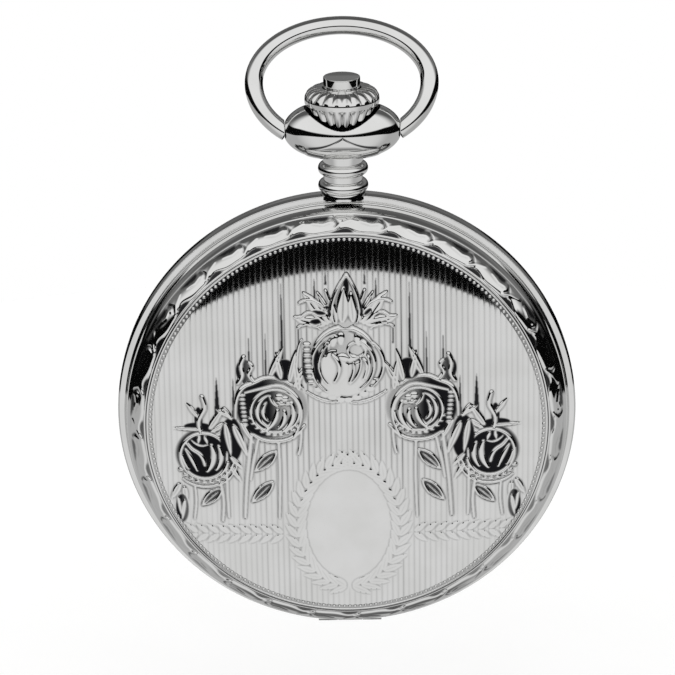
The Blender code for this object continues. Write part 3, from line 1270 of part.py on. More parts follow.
def make_barrel():
    """The toothed barrel, its cover and its arbor."""
    inner = barrel_inner()
    outline = gear(BARREL_TEETH, BARREL_MODULE, gap_towards(BARREL, CENTRE, BARREL_TEETH), pointed=True)
    bore = circle(BARREL_ARBOR_RADIUS * 0.6 + RUN_GAP, 10)
    drum = plate("barrel", [outline, bore], BARREL_FRONT - BARREL_WALL, BARREL_FRONT, "brass_wheel",
                 BARREL)
    join(drum, washer("drum_wall", inner, inner + BARREL_WALL, BARREL_BACK,
                      BARREL_FRONT - BARREL_WALL / 2, "brass_wheel",
                      location=(*BARREL, 0)))
    washer("barrel_cover", BARREL_ARBOR_RADIUS + RUN_GAP, inner - SEAT_GAP, BARREL_BACK,
           BARREL_BACK + 0.18 * MM,
           "brass_wheel", location=(*BARREL, 0))
    wide = BARREL_ARBOR_RADIUS
    narrow = BARREL_ARBOR_RADIUS * 0.6
    step = BARREL_FRONT - BARREL_WALL - RUN_GAP
    bottom = RATCHET_FRONT - RATCHET_THICKNESS
    profile = [(0, BARREL_FRONT), (narrow, BARREL_FRONT), (narrow, step), (wide, step),
               (wide, RATCHET_FRONT),
               (wide * 0.8, RATCHET_FRONT), (wide * 0.8, bottom), (0, bottom)]
    core = turned("barrel_arbor", profile, "steel", 16, location=(*BARREL, 0))
    cut(core, screw_hole(BARREL, RATCHET_BACK, RATCHET_THICKNESS + 0.3 * MM))


def make_winding_wheels():
    """The crown wheel and the ratchet wheel on the barrel bridge, with the click and its spring."""
    crown_outline = gear(CROWN_WHEEL_TEETH, WINDING_MODULE, towards(CROWN_WHEEL, BARREL), pointed=True)
    crown_bore = circle(SCREW_SHANK_RADIUS + RUN_GAP, 12)
    plate("crown_wheel", [crown_outline, crown_bore], RATCHET_BACK, RATCHET_FRONT, "steel", CROWN_WHEEL)
    ratchet_outline = gear(RATCHET_TEETH, WINDING_MODULE,
                           gap_towards(BARREL, CROWN_WHEEL, RATCHET_TEETH),
                           pointed=True)
    ratchet_bore = circle(BARREL_ARBOR_RADIUS * 0.8 + RUN_GAP, 16)
    plate("ratchet_wheel", [ratchet_outline, ratchet_bore], RATCHET_BACK, RATCHET_FRONT, "steel",
          BARREL)
    tip = moved(BARREL, RATCHET_TIP + 0.3 * MM, math.radians(146))
    bore = circle(SCREW_SHANK_RADIUS + RUN_GAP, 10)
    local_tip = (tip[0] - CLICK[0], tip[1] - CLICK[1])
    plate("click", [drop((0, 0), CLICK_REACH, local_tip, 0.15 * MM), bore], RATCHET_BACK, RATCHET_FRONT,
          "steel", CLICK)
    strip = sector(BARREL_REACH + 0.1 * MM, BARREL_REACH + 0.35 * MM, 126, 152, 6)
    spring = plate("click_spring", [strip], RATCHET_BACK, RATCHET_FRONT, "spring_steel")
    place = polar(BARREL_REACH + 0.3 * MM, math.radians(126))
    join(spring, rod("spring_foot", 0.5 * MM, (*place, RATCHET_BACK - 0.05 * MM),
                     (*place, RATCHET_FRONT), facets=PIN_FACETS))


# ---------------------------------------------------------------- motion work and hands

def make_motion_work():
    """The cannon pinion, the minute wheel and the hour wheel under the dial."""
    inner = CENTRE_ARBOR_RADIUS + RUN_GAP
    outer = inner + CANNON_WALL
    cannon = washer("cannon_pinion", inner, outer, PLATE_FRONT + SEAT_GAP,
                    MINUTE_HAND_BACK + HAND_THICKNESS, "steel", 16)
    leaves = gear(CANNON_TEETH, MOTION_MODULE, towards(CENTRE, MINUTE))
    top = MINUTE_WHEEL_BACK + WHEEL_THICKNESS + 0.05 * MM
    join(cannon, plate("cannon_leaves", [leaves, circle(inner + CANNON_WALL / 2, 16)],
                       PLATE_FRONT + SEAT_GAP + 0.01 * MM,
                       top, "steel"))
    pipe_inner = outer + RUN_GAP
    pipe_outer = pipe_inner + HOUR_PIPE_WALL
    hour = washer("hour_wheel", pipe_inner, pipe_outer, HOUR_WHEEL_BACK,
                  HOUR_HAND_BACK + HAND_THICKNESS, "brass_wheel", 16)
    teeth = gear(HOUR_TEETH, MOTION_MODULE, gap_towards(CENTRE, MINUTE, HOUR_TEETH), pointed=True)
    join(hour, plate("hour_teeth", [teeth, circle(pipe_inner + HOUR_PIPE_WALL / 2, 16)],
                     HOUR_WHEEL_BACK + 0.01 * MM,
                     HOUR_WHEEL_BACK + 0.17 * MM, "brass_wheel"))
    bore = circle(ARBOR_RADIUS + RUN_GAP, 12)
    minute_teeth = gear(MINUTE_TEETH, MOTION_MODULE, gap_towards(MINUTE, CENTRE, MINUTE_TEETH),
                        pointed=True)
    minute = plate("minute_wheel", [minute_teeth, bore], MINUTE_WHEEL_BACK,
                   MINUTE_WHEEL_BACK + 0.17 * MM, "brass_wheel", MINUTE)
    leaves = gear(MINUTE_PINION_TEETH, MOTION_MODULE, towards(MINUTE, CENTRE))
    join(minute, plate("minute_leaves", [leaves, circle(ARBOR_RADIUS + RUN_GAP + 0.01 * MM, 12)],
                       MINUTE_WHEEL_BACK + 0.1 * MM, HOUR_WHEEL_BACK + 0.2 * MM, "steel", MINUTE))


def spade(length, width, hub):
    """A tapering hand with a round hub and a leaf near its tip."""
    leaf = length * 0.72
    half = [(hub * 0.3, hub * 0.95), (width * 0.35, hub * 1.4), (width * 0.22, leaf * 0.8),
            (width * 0.5, leaf * 0.92),
            (width * 0.85, leaf), (width * 0.45, leaf * 1.1), (width * 0.12, leaf * 1.18),
            (0.03 * MM, length)]
    ring = arc((0, 0), hub, 110, 430, 16)
    right = [point for point in half[1:]]
    left = [(-x, y) for x, y in reversed(right)]
    return ring + right + left


def straight_hand(length, tail, width, hub):
    """A thin hand with a counterweight tail."""
    ring = arc((0, 0), hub, -60, 60, 6)
    right = [(width * 1.5, -tail)] + ring + [(width / 2, length)]
    left = [(-x, y) for x, y in reversed(right)]
    return right + left


def make_hands():
    """The hour, minute and seconds hands."""
    cannon = CENTRE_ARBOR_RADIUS + RUN_GAP + CANNON_WALL
    pipe = cannon + RUN_GAP + HOUR_PIPE_WALL
    plate("hour_hand", [spade(HOUR_HAND_LENGTH, 1.5 * MM, pipe + 0.6 * MM), circle(pipe + RUN_GAP, 16)],
          HOUR_HAND_BACK, HOUR_HAND_BACK + HAND_THICKNESS, "blued_hand", rotation=(0, 0, HOUR_ANGLE))
    plate("minute_hand", [spade(MINUTE_HAND_LENGTH, 1.2 * MM, cannon + 0.5 * MM),
                          circle(cannon + RUN_GAP, 16)],
          MINUTE_HAND_BACK, MINUTE_HAND_BACK + HAND_THICKNESS, "blued_hand",
          rotation=(0, 0, MINUTE_HAND_ANGLE))
    plate("seconds_hand", [straight_hand(SECONDS_HAND_LENGTH, 1.4 * MM, 0.22 * MM, 0.45 * MM),
                           circle(PIVOT_RADIUS + 0.03 * MM, 8)],
          SECONDS_HAND_BACK, SECONDS_HAND_BACK + HAND_THICKNESS, "blued_hand", FOURTH,
          rotation=(0, 0, SECONDS_HAND_ANGLE))


def build():
    """Makes every sub-part of the watch."""
    clear_scene()
    bpy.context.scene.collection.children.link(parts)
    bpy.context.scene.collection.children.link(cutters)
    make_materials()
    make_frames()
    make_case_middle()
    make_front_cover()
    make_back_cover()
    make_hinge_pins()
    make_front_glass()
    make_back_glass()
    make_movement_ring()
    make_case_springs()
    make_pendant_neck()
    make_stem_sleeve()
    make_bow_collar()
    make_bow()
    make_crown()
    make_push_piece()
    make_winding_stem()
    make_winding_pinion()
    make_mainplate()
    make_barrel_bridge()
    make_train_bridge()
    make_balance_cock()
    make_pallet_bridge()
    make_dial()
    make_screws()
    make_jewels()
    make_centre_wheel()
    make_third_wheel()
    make_fourth_wheel()
    make_escape_wheel()
    make_pallet_fork()
    make_balance()
    make_springs()
    make_barrel()
    make_winding_wheels()
    make_motion_work()
    make_hands()


build()
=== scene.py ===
"""Looks of the hunter pocket watch: smooth plated surfaces, a die-struck front cover and a printed dial.

Sizes are in millimetres in this file and become metres where a mesh is made. X runs to the right, Z up
towards the crown, and a height is measured from the back cover's flat towards the viewer, along -Y.
"""

import json
import math

import bmesh
import bpy
import numpy as np
from mathutils import Matrix, Vector


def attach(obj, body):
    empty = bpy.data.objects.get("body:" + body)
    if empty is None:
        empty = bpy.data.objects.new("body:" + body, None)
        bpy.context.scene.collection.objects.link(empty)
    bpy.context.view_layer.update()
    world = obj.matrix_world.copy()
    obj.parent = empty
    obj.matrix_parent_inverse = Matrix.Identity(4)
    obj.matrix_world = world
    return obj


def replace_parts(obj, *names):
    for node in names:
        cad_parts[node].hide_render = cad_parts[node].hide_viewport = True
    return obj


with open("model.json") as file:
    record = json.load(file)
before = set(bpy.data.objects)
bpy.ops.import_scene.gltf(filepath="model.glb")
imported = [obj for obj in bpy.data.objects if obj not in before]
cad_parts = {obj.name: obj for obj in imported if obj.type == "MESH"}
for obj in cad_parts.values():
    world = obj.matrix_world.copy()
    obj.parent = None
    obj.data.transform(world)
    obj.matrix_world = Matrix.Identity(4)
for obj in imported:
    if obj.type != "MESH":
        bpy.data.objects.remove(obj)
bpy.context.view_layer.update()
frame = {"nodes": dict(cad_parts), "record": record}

MM = 0.001
MID = 6.5

# Front cover
APEX = 12.84
CROWNING = 1.12
EDGE_CURL = 0.37
FIELD = 21.1
FIELD_EDGE = 20.2
REED_PITCH = 0.57
REED_HEIGHT = 0.038
# Painted dark reflections as streaks in the reeds' grooves: distance from the middle, top, foot and width
REFLECTION_STREAKS = ((3.3, 16.6, 13.4, 0.16), (6.6, 16.0, 6.4, 0.2), (9.9, 10.6, 5.4, 0.16), (11.5, 6.0, 1.2, 0.2),
           (13.4, 6.0, 1.6, 0.32), (5.1, 12.5, 9.5, 0.1), (8.4, 11.0, 6.0, 0.12), (1.9, 17.2, 15.8, 0.12))
MAP_STEP = 0.05
MAP_AXIS = np.arange(-412, 413) * MAP_STEP
BEAD_RING = 20.41
BEAD_COUNT = 232
BORDER_INNER = 20.66
BORDER_OUTER = 22.62
BORDER_TOP = 11.45
BORDER_FALL = 1.45
BORDER_REPEATS = 28
BORDER_MEAN = 21.9
SHOULDER = 20.6
BORDER_LINES = (20.76, 21.02)
BEAD_GROUND = 20.62
RIBBON_RING = 21.82
WALL_RADIUS = 23.3
LID_RIM = 7.65
SHELL = 0.5

# Band, hinges, dial and crystals
BAND_RADIUS = 24.0
BAND_EDGE = BAND_RADIUS - 0.16
MIDDLE_RADIUS = 22.365
MIDDLE_BORE = 19.965
BEZEL_RADIUS = 21.965
KNUCKLE_HALF = 1.25
LID_HINGE = 7.6
BACK_HINGE = 5.4
HINGE_Z = -23.3
DIAL_FACE = 9.1
MINUTE_RING = (17.3, 18.2)
SECONDS_RING = (3.4, 3.9)
SECONDS_Z = -9.0
FIGURE_RING = 14.2
FIGURE_SIZE = 4.6
CRYSTAL_RADIUS = 20.16
CRYSTAL_RISE = 1.2
CRYSTAL_OUTSIDE = 9.9
CRYSTAL_INSIDE = 9.31

# Pendant, crown and bow
NECK_TOP = 27.425
BEAD_LEVELS = (24.72, 26.55)
PIVOT = 30.605
COLLAR_HALF = 5.875
COLLAR_BELLY = 3.02
COLLAR_TIP = 6.06
CUP_FLAT = 2.75
CUP_WIDE = 4.07
CROWN_LOW = 30.755
CROWN_CONE = 33.455
CROWN_LINE = 34.005
CROWN_HIGH = 35.155
CROWN_WIDE = 3.82
FLUTES = 22
PUSH_HIGH = 36.205
PUSH_WIDE = 1.88
BOW_WIRE = 0.93
BOW_WIDE = 8.98
BOW_GAP = 0.04
BOW_TILT = math.radians(26)

# Cartouche and wreath, as centre height and half axes
CARTOUCHE_Z = -10.65
CARTOUCHE = (4.1, 6.0)
WREATH = (5.4, 7.2)


# ---------------------------------------------------------------- meshes from grids

def mesh_piece(name, vertices, faces, body, sharp=None, slot="polished_case", material=None):
    """Makes a smooth piece from arrays of vertices in millimetres and of faces, and lets it ride.

    Its finish is its slot's own, unless another material is given.
    """
    mesh = bpy.data.meshes.new(name)
    mesh.from_pydata(np.asarray(vertices) * MM, [], faces)
    mesh.validate()
    mesh.shade_smooth()
    if sharp:
        mesh.set_sharp_from_angle(angle=math.radians(sharp))
    mesh.materials.append(material or FINISHES[slot])
    thing = bpy.data.objects.new(name, mesh)
    bpy.context.scene.collection.objects.link(thing)
    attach(thing, body)
    return thing


def grid_faces(rows, columns, wrap_rows=False, wrap_columns=False, start=0):
    """Quads between the neighbours of a rows x columns grid, as one index array."""
    i = np.arange(rows if wrap_rows else rows - 1)[:, None]
    j = np.arange(columns if wrap_columns else columns - 1)[None, :]
    i2 = (i + 1) % rows
    j2 = (j + 1) % columns
    quads = np.stack([i * columns + j, i * columns + j2, i2 * columns + j2, i2 * columns + j], axis=-1)
    return quads.reshape(-1, 4) + start


def weld(thing, outward=True):
    """Merges the doubles at poles and seams, and turns a closed shell's faces outward."""
    form = bmesh.new()
    form.from_mesh(thing.data)
    bmesh.ops.remove_doubles(form, verts=form.verts, dist=2e-7)
    bmesh.ops.dissolve_degenerate(form, edges=form.edges, dist=1e-8)
    if outward:
        bmesh.ops.recalc_face_normals(form, faces=form.faces)
    form.to_mesh(thing.data)
    form.free()
    return thing


def grid_piece(name, points, body, wrap=(False, True), sharp=None, slot="polished_case", material=None):
    """A piece from a rows x columns x 3 array of points."""
    rows, columns = points.shape[:2]
    faces = grid_faces(rows, columns, *wrap)
    thing = mesh_piece(name, points.reshape(-1, 3), faces.tolist(), body, None, slot, material)
    weld(thing)
    thing.data.shade_smooth()
    if sharp:
        thing.data.set_sharp_from_angle(angle=math.radians(sharp))
    return thing


def rounded(corners, radius, steps=4):
    """A profile with each inner corner replaced by a short curve: a quadratic through the corner's sides."""
    corners = [np.array(c, float) for c in corners]
    points = [corners[0]]
    for before, corner, after in zip(corners, corners[1:], corners[2:]):
        reach_in = min(radius, 0.45 * np.linalg.norm(before - corner))
        reach_out = min(radius, 0.45 * np.linalg.norm(after - corner))
        start = corner + (before - corner) / np.linalg.norm(before - corner) * reach_in
        end = corner + (after - corner) / np.linalg.norm(after - corner) * reach_out
        t = np.linspace(0, 1, steps + 1)[:, None]
        points.extend((1 - t) ** 2 * start + 2 * t * (1 - t) * corner + t ** 2 * end)
    points.append(corners[-1])
    return np.array(points)


def turned_case(name, profile, body, segments, sharp, slot="polished_case", material=None):
    """A case part turned about the Y axis: each (radius, height) point of the profile goes round a circle."""
    profile = np.asarray(profile)
    turn = np.linspace(0, 2 * np.pi, segments, endpoint=False)[None, :]
    radius = profile[:, :1]
    height = profile[:, 1:]
    points = np.stack([radius * np.cos(turn), -height + 0 * turn, radius * np.sin(turn)], axis=-1)
    return grid_piece(name, points, body, (False, True), sharp, slot, material)


def turned_pendant(name, profile, body, segments, sharp):
    """A part turned about the pendant's upright axis, from (radius, height above the centre) points."""
    profile = np.asarray(profile)
    turn = np.linspace(0, 2 * np.pi, segments, endpoint=False)[None, :]
    radius = profile[:, :1]
    height = profile[:, 1:]
    points = np.stack([radius * np.cos(turn), radius * np.sin(turn) - MID, height + 0 * turn], axis=-1)
    return grid_piece(name, points, body, (False, True), sharp)


# ---------------------------------------------------------------- materials

class Wire:
    """A socket in a material's nodes, with the arithmetic that this file uses."""

    def __init__(self, tree, socket):
        self.tree = tree
        self.socket = socket

    def node(self, kind, values=(), output=0, **settings):
        """Adds a node: its settings first, then values or wires for its sockets."""
        made = self.tree.nodes.new(kind)
        for key, value in settings.items():
            if key == "stops":
                ramp = made.color_ramp
                while len(ramp.elements) < len(value):
                    ramp.elements.new(0.5)
                for element, (place, colour) in zip(ramp.elements, value):
                    element.position = place
                    element.color = colour
            else:
                setattr(made, key, value)
        for key, value in dict(values).items():
            if isinstance(value, Wire):
                self.tree.links.new(value.socket, made.inputs[key])
            else:
                made.inputs[key].default_value = value
        return Wire(self.tree, made.outputs[output])

    def maths(self, operation, *operands):
        """A Math node of this wire and other operands."""
        return self.node("ShaderNodeMath", dict(enumerate((self,) + operands)), operation=operation)

    def __add__(self, other):
        return self.maths("ADD", other)

    def __mul__(self, other):
        return self.maths("MULTIPLY", other)

    def __sub__(self, other):
        return self.maths("SUBTRACT", other)

    def __rsub__(self, other):
        return self.node("ShaderNodeMath", {0: other, 1: self}, operation="SUBTRACT")

    def __truediv__(self, other):
        return self.maths("DIVIDE", other)

    def part(self, axis):
        """One coordinate of a vector."""
        return self.node("ShaderNodeSeparateXYZ", {0: self}, output="XYZ".index(axis))

    def step(self, low, high):
        """A smooth step from 0 to 1 between two values."""
        return self.node("ShaderNodeMapRange", {0: self, 1: low, 2: high, 3: 0.0, 4: 1.0},
                         interpolation_type="SMOOTHSTEP")

    def noise(self, scale, detail=2.0, stretch=(1, 1, 1)):
        """Noise over this vector, in cycles per metre."""
        place = self.node("ShaderNodeMapping", {0: self, 3: stretch})
        return self.node("ShaderNodeTexNoise", {"Vector": place, "Scale": scale, "Detail": detail})

    def tint(self, first, second):
        """A colour between two others by this value."""
        return self.node("ShaderNodeMix", {0: self, 6: (*first, 1), 7: (*second, 1)}, output=2,
                         data_type="RGBA")


def new_material(name, colour, metallic, roughness, **constants):
    """A Principled material; gives it, its shader and a wire of its Object coordinates."""
    material = bpy.data.materials.new(name)
    material.use_nodes = True
    tree = material.node_tree
    shader = tree.nodes["Principled BSDF"]
    shader.inputs["Base Color"].default_value = (*colour, 1)
    shader.inputs["Metallic"].default_value = metallic
    shader.inputs["Roughness"].default_value = roughness
    for key, value in constants.items():
        shader.inputs[key.replace("_", " ")].default_value = value
    place = Wire(tree, tree.nodes.new("ShaderNodeTexCoord").outputs["Object"])
    return material, shader, place


def feed(shader, name, wire):
    """Links a wire to one of the shader's sockets."""
    wire.tree.links.new(wire.socket, shader.inputs[name])


def bumped(shader, height, strength, distance):
    """Feeds a height to the shader's normal."""
    feed(shader, "Normal", height.node("ShaderNodeBump", {"Height": height, "Strength": strength,
                                                          "Distance": distance}))


def make_chrome():
    """Bright plating: near-white metal with a faint haze and hairlines, mixed to near black by each point's
    painted shade and painted dark reflection.
    """
    material, shader, place = new_material("bright_plating", (0.80, 0.80, 0.79), 1.0, 0.05)
    haze = place.noise(240.0, 3.0)
    hairline = place.noise(1400.0, 2.0, (1, 1, 9))
    # each point's painted shade and painted dark reflection, as stored by the pieces
    recess = place.node("ShaderNodeAttribute", output=2, attribute_name="recess")
    bright = haze.step(0.3, 0.7).tint((0.80, 0.80, 0.79), (0.85, 0.85, 0.845))
    # near-black colour of the painted shade and the painted dark reflections
    dark = haze.tint((0.006, 0.006, 0.008), (0.018, 0.018, 0.02))
    feed(shader, "Base Color", recess.node("ShaderNodeMix", {0: recess, 6: bright, 7: dark}, output=2,
                                           data_type="RGBA"))
    feed(shader, "Roughness", haze * 0.03 + hairline * 0.03 + recess * 0.25 + 0.01)
    return material


def make_satin(name, colour, darker, roughness, stretch):
    """Brushed metal: long streaks in its colour, gloss and height."""
    material, shader, place = new_material(name, colour, 1.0, roughness)
    streak = place.noise(3000.0, 3.0, stretch)
    cloud = place.noise(300.0)
    feed(shader, "Base Color", (streak * 0.7 + cloud * 0.3).step(0.3, 0.7).tint(darker, colour))
    feed(shader, "Roughness", streak * 0.16 + (roughness - 0.08))
    bumped(shader, streak, 0.12, 0.00003)
    return material


def make_striped_nickel():
    """Nickel plates with broad ribbed stripes, each brushed across."""
    material, shader, place = new_material("striped_nickel", (0.66, 0.65, 0.62), 1.0, 0.3)
    along = place.part("X") * 0.6 + place.part("Z") * 0.8
    across = place.part("Z") * 0.6 - place.part("X") * 0.8
    ridge = (across * (2 * math.pi / 0.0016)).maths("SINE").maths("ABSOLUTE")
    streak = place.noise(2600.0, 2.0, (1, 1, 6))
    fine = (along * 9000.0).maths("SINE")
    depth = (ridge * 0.7 + streak * 0.3).step(0.1, 0.9)
    feed(shader, "Base Color", depth.tint((0.50, 0.49, 0.46), (0.72, 0.71, 0.68)))
    feed(shader, "Roughness", streak * 0.12 + ridge * 0.08 + 0.16)
    bumped(shader, ridge + fine * 0.04, 0.25, 0.00006)
    return material


def make_gilt():
    """Gilt brass with a fine circular grain."""
    material, shader, place = new_material("gilt_brass", (0.78, 0.60, 0.30), 1.0, 0.28)
    grain = place.noise(5200.0, 3.0)
    cloud = place.noise(260.0)
    depth = (grain * 0.5 + cloud * 0.5).step(0.3, 0.7)
    feed(shader, "Base Color", depth.tint((0.68, 0.50, 0.22), (0.82, 0.65, 0.34)))
    feed(shader, "Roughness", grain * 0.2 + 0.16)
    bumped(shader, grain, 0.08, 0.00002)
    return material


def make_enamel():
    """Fired enamel: warm white with a faint mottle under a clear gloss."""
    material, shader, place = new_material("white_enamel", (0.86, 0.85, 0.82), 0.0, 0.3, Coat_Weight=0.5,
                                           Coat_Roughness=0.05)
    mottle = place.noise(420.0, 4.0)
    feed(shader, "Base Color", mottle.step(0.35, 0.65).tint((0.84, 0.83, 0.79), (0.88, 0.875, 0.85)))
    feed(shader, "Roughness", mottle * 0.15 + 0.2)
    return material


def make_paint(name, colour, lighter, metallic, roughness):
    """Printed or blued surfaces: one hue with a cloudy change of depth."""
    material, shader, place = new_material(name, colour, metallic, roughness)
    cloud = place.noise(900.0, 3.0)
    feed(shader, "Base Color", cloud.step(0.3, 0.7).tint(colour, lighter))
    feed(shader, "Roughness", cloud * 0.12 + (roughness - 0.05))
    return material


def make_glass():
    """Clear crystal."""
    material, shader, place = new_material("clear_crystal", (0.96, 0.98, 0.98), 0.0, 0.0,
                                           Transmission_Weight=1.0, IOR=1.46)
    smear = place.noise(160.0, 2.0)
    feed(shader, "Roughness", smear.step(0.55, 0.8) * 0.03)
    return material


def make_ruby():
    """Synthetic ruby."""
    material, shader, place = new_material("ruby_red", (0.55, 0.03, 0.08), 0.0, 0.06, Coat_Weight=0.6)
    cloud = place.noise(1500.0)
    feed(shader, "Base Color", cloud.step(0.3, 0.7).tint((0.45, 0.02, 0.06), (0.66, 0.05, 0.12)))
    return material


chrome = make_chrome()
satin = make_satin("satin_steel", (0.60, 0.61, 0.62), (0.48, 0.49, 0.50), 0.26, (1, 1, 12))
spring_blue = make_satin("blued_spring", (0.16, 0.24, 0.48), (0.08, 0.12, 0.30), 0.24, (1, 1, 1))
nickel = make_striped_nickel()
gilt = make_gilt()
enamel = make_enamel()
blued = make_paint("blued_steel", (0.015, 0.03, 0.13), (0.03, 0.07, 0.26), 1.0, 0.22)
ink = make_paint("black_print", (0.012, 0.012, 0.014), (0.03, 0.03, 0.034), 0.0, 0.4)
glass = make_glass()
ruby = make_ruby()

FINISHES = {
    "polished_case": chrome, "crystal": glass, "steel": satin, "spring_steel": spring_blue,
    "nickel_plate": nickel, "brass_wheel": gilt, "dial_enamel": enamel, "blued_hand": blued, "ruby": ruby,
}


def dress_nodes():
    """Gives each CAD node that stays the finish of its slot."""
    for entry in frame["record"]["subparts"]:
        node = frame["nodes"][entry["node"]]
        for holder in node.material_slots:
            holder.material = FINISHES[entry["material_slot"]]


# ---------------------------------------------------------------- relief of the covers

class Relief:
    """Heights over arrays of x and z, to which the ornament's forms are added one by one.

    raised is each form's height, cover tells where the reeds give way, and shade how dark a ground is
    painted, as painted shade.
    """

    def __init__(self, x, z):
        self.x = x
        self.z = z
        self.raised = np.zeros_like(x)
        self.cover = np.zeros_like(x)
        self.shade = np.zeros_like(x)

    def window(self, x, z, reach):
        """The points within a square round a place, and their offsets from it."""
        near = np.nonzero((np.abs(self.x - x) < reach) & (np.abs(self.z - z) < reach))
        return near, self.x[near] - x, self.z[near] - z

    def lay(self, near, height, inside):
        """Raises points to a height where a form covers them, and clears their shade."""
        inside = np.clip(inside, 0, 1)
        self.raised[near] = np.maximum(self.raised[near], height * inside)
        self.cover[near] = np.maximum(self.cover[near], inside)
        self.shade[near] = self.shade[near] * (1 - inside)

    def leaf(self, x, z, angle, length, width, height, bend=0.0, groove=0.5):
        """A leaf from its foot: a crowned blade as wide as a sine, with a groove along its middle."""
        near, dx, dz = self.window(x, z, length * 1.15)
        turn = math.radians(angle)
        s = (dx * math.cos(turn) + dz * math.sin(turn)) / length
        t = -dx * math.sin(turn) + dz * math.cos(turn)
        inside_s = np.clip(s, 0.0, 1.0)
        t = t - bend * length * np.sin(np.pi * inside_s * 0.5) ** 2
        half = 0.5 * width * np.sin(np.pi * inside_s ** 0.72) ** 0.75 + 1e-4
        q = 1 - (t / half) ** 2
        rise = height * np.clip(q, 0, 1) ** 0.5
        rise = rise - groove * height * np.exp(-(t / (0.11 * width)) ** 2) * np.clip(q, 0, 1)
        self.lay(near, rise, np.where((s > 0) & (s < 1) & (q > 0), np.minimum(1, q * 6), 0))

    def edged_leaf(self, x, z, angle, length, width, height):
        """A leaf drawn by its raised edge and vein over a ground with painted shade."""
        turn = math.radians(angle)
        ahead = np.array([math.cos(turn), math.sin(turn)])
        aside = np.array([-math.sin(turn), math.cos(turn)])
        foot = np.array([x, z])
        self.ground(*(foot + 0.5 * length * ahead), 0.52 * length, 0.5 * width, 0.0, 0.7, 0.7, angle)
        for side in (-1, 1):
            pull = foot + ahead * 0.55 * length + aside * side * width
            self.curve(foot, pull, foot + ahead * length, 0.27, height, 0.2)
        self.line([foot, foot + ahead * 0.8 * length], 0.22, height, 0.5)

    def arc(self, x, z, wide, tall, start, end, thick, height, turn=0.0):
        """A rounded ridge along an ellipse between two angles, thinner at its ends."""
        near, dx, dz = self.window(x, z, max(wide, tall) + thick)
        lean = math.radians(turn)
        px = dx * math.cos(lean) + dz * math.sin(lean)
        pz = -dx * math.sin(lean) + dz * math.cos(lean)
        around = np.degrees(np.arctan2(pz / tall, px / wide))
        share = ((around - start) % 360) / (end - start)
        off = (np.hypot(px / wide, pz / tall) - 1) * 0.5 * (wide + tall)
        taper = 1.0 if end - start > 359 else np.clip(np.sin(np.pi * np.clip(share, 0, 1)), 0, 1) ** 0.4
        half = 0.5 * thick * taper + 1e-4
        q = 1 - (off / half) ** 2
        inside = np.where((share < 1) & (q > 0), np.minimum(1, q * 5), 0)
        self.lay(near, height * np.clip(q, 0, 1) ** 0.5, inside)

    def dome(self, x, z, wide, tall, height, power=0.5, turn=0.0):
        """A rounded boss over an ellipse."""
        near, dx, dz = self.window(x, z, max(wide, tall) * 1.05)
        lean = math.radians(turn)
        px = dx * math.cos(lean) + dz * math.sin(lean)
        pz = -dx * math.sin(lean) + dz * math.cos(lean)
        q = 1 - (px / wide) ** 2 - (pz / tall) ** 2
        self.lay(near, height * np.clip(q, 0, 1) ** power, np.where(q > 0, np.minimum(1, q * 8), 0))

    def line(self, points, thick, height, taper=0.4):
        """A rounded ridge along a polyline, from the distance to its nearest segment."""
        points = np.array(points, float)
        middle = (points.min(axis=0) + points.max(axis=0)) / 2
        reach = np.abs(points - middle).max() + thick
        near, dx, dz = self.window(middle[0], middle[1], reach)
        place = np.stack([dx, dz], axis=-1) + middle
        nearest = np.full(len(dx), 1e9)
        share = np.zeros(len(dx))
        count = len(points) - 1
        for k, (a, b) in enumerate(zip(points, points[1:])):
            side = b - a
            t = np.clip((place - a) @ side / (side @ side), 0, 1)
            distance = np.linalg.norm(place - a - t[:, None] * side, axis=1)
            closer = distance < nearest
            nearest[closer] = distance[closer]
            share[closer] = (k + t[closer]) / count
        half = 0.5 * thick * (1 - taper * np.abs(2 * share - 1) ** 2)
        q = 1 - (nearest / half) ** 2
        self.lay(near, height * np.clip(q, 0, 1) ** 0.5, np.where(q > 0, np.minimum(1, q * 5), 0))

    def curve(self, start, pull, end, thick, height, taper=0.4):
        """A ridge along a curve between two points that is pulled towards a third."""
        t = np.linspace(0, 1, 13)[:, None]
        start, pull, end = np.array(start), np.array(pull), np.array(end)
        self.line((1 - t) ** 2 * start + 2 * t * (1 - t) * pull + t ** 2 * end, thick, height, taper)

    def ground(self, x, z, wide, tall, depth, shade_left, shade_right, turn=0.0):
        """Clears an ellipse of the reeding, lays it lower and paints shade on it, from its left side to its
        right.
        """
        near, dx, dz = self.window(x, z, max(wide, tall) * 1.1)
        lean = math.radians(turn)
        px = dx * math.cos(lean) + dz * math.sin(lean)
        pz = -dx * math.sin(lean) + dz * math.cos(lean)
        inside = np.clip((1 - (px / wide) ** 2 - (pz / tall) ** 2) * 5, 0, 1)
        across = np.clip(0.5 + 0.9 * px / wide, 0, 1)
        across = across ** 2 * (3 - 2 * across)
        # painted shade, changing from the left side to the right
        shade = shade_left + (shade_right - shade_left) * across
        self.cover[near] = np.maximum(self.cover[near], inside)
        self.raised[near] = self.raised[near] * (1 - inside) - depth * inside
        self.shade[near] = self.shade[near] * (1 - inside) + shade * inside


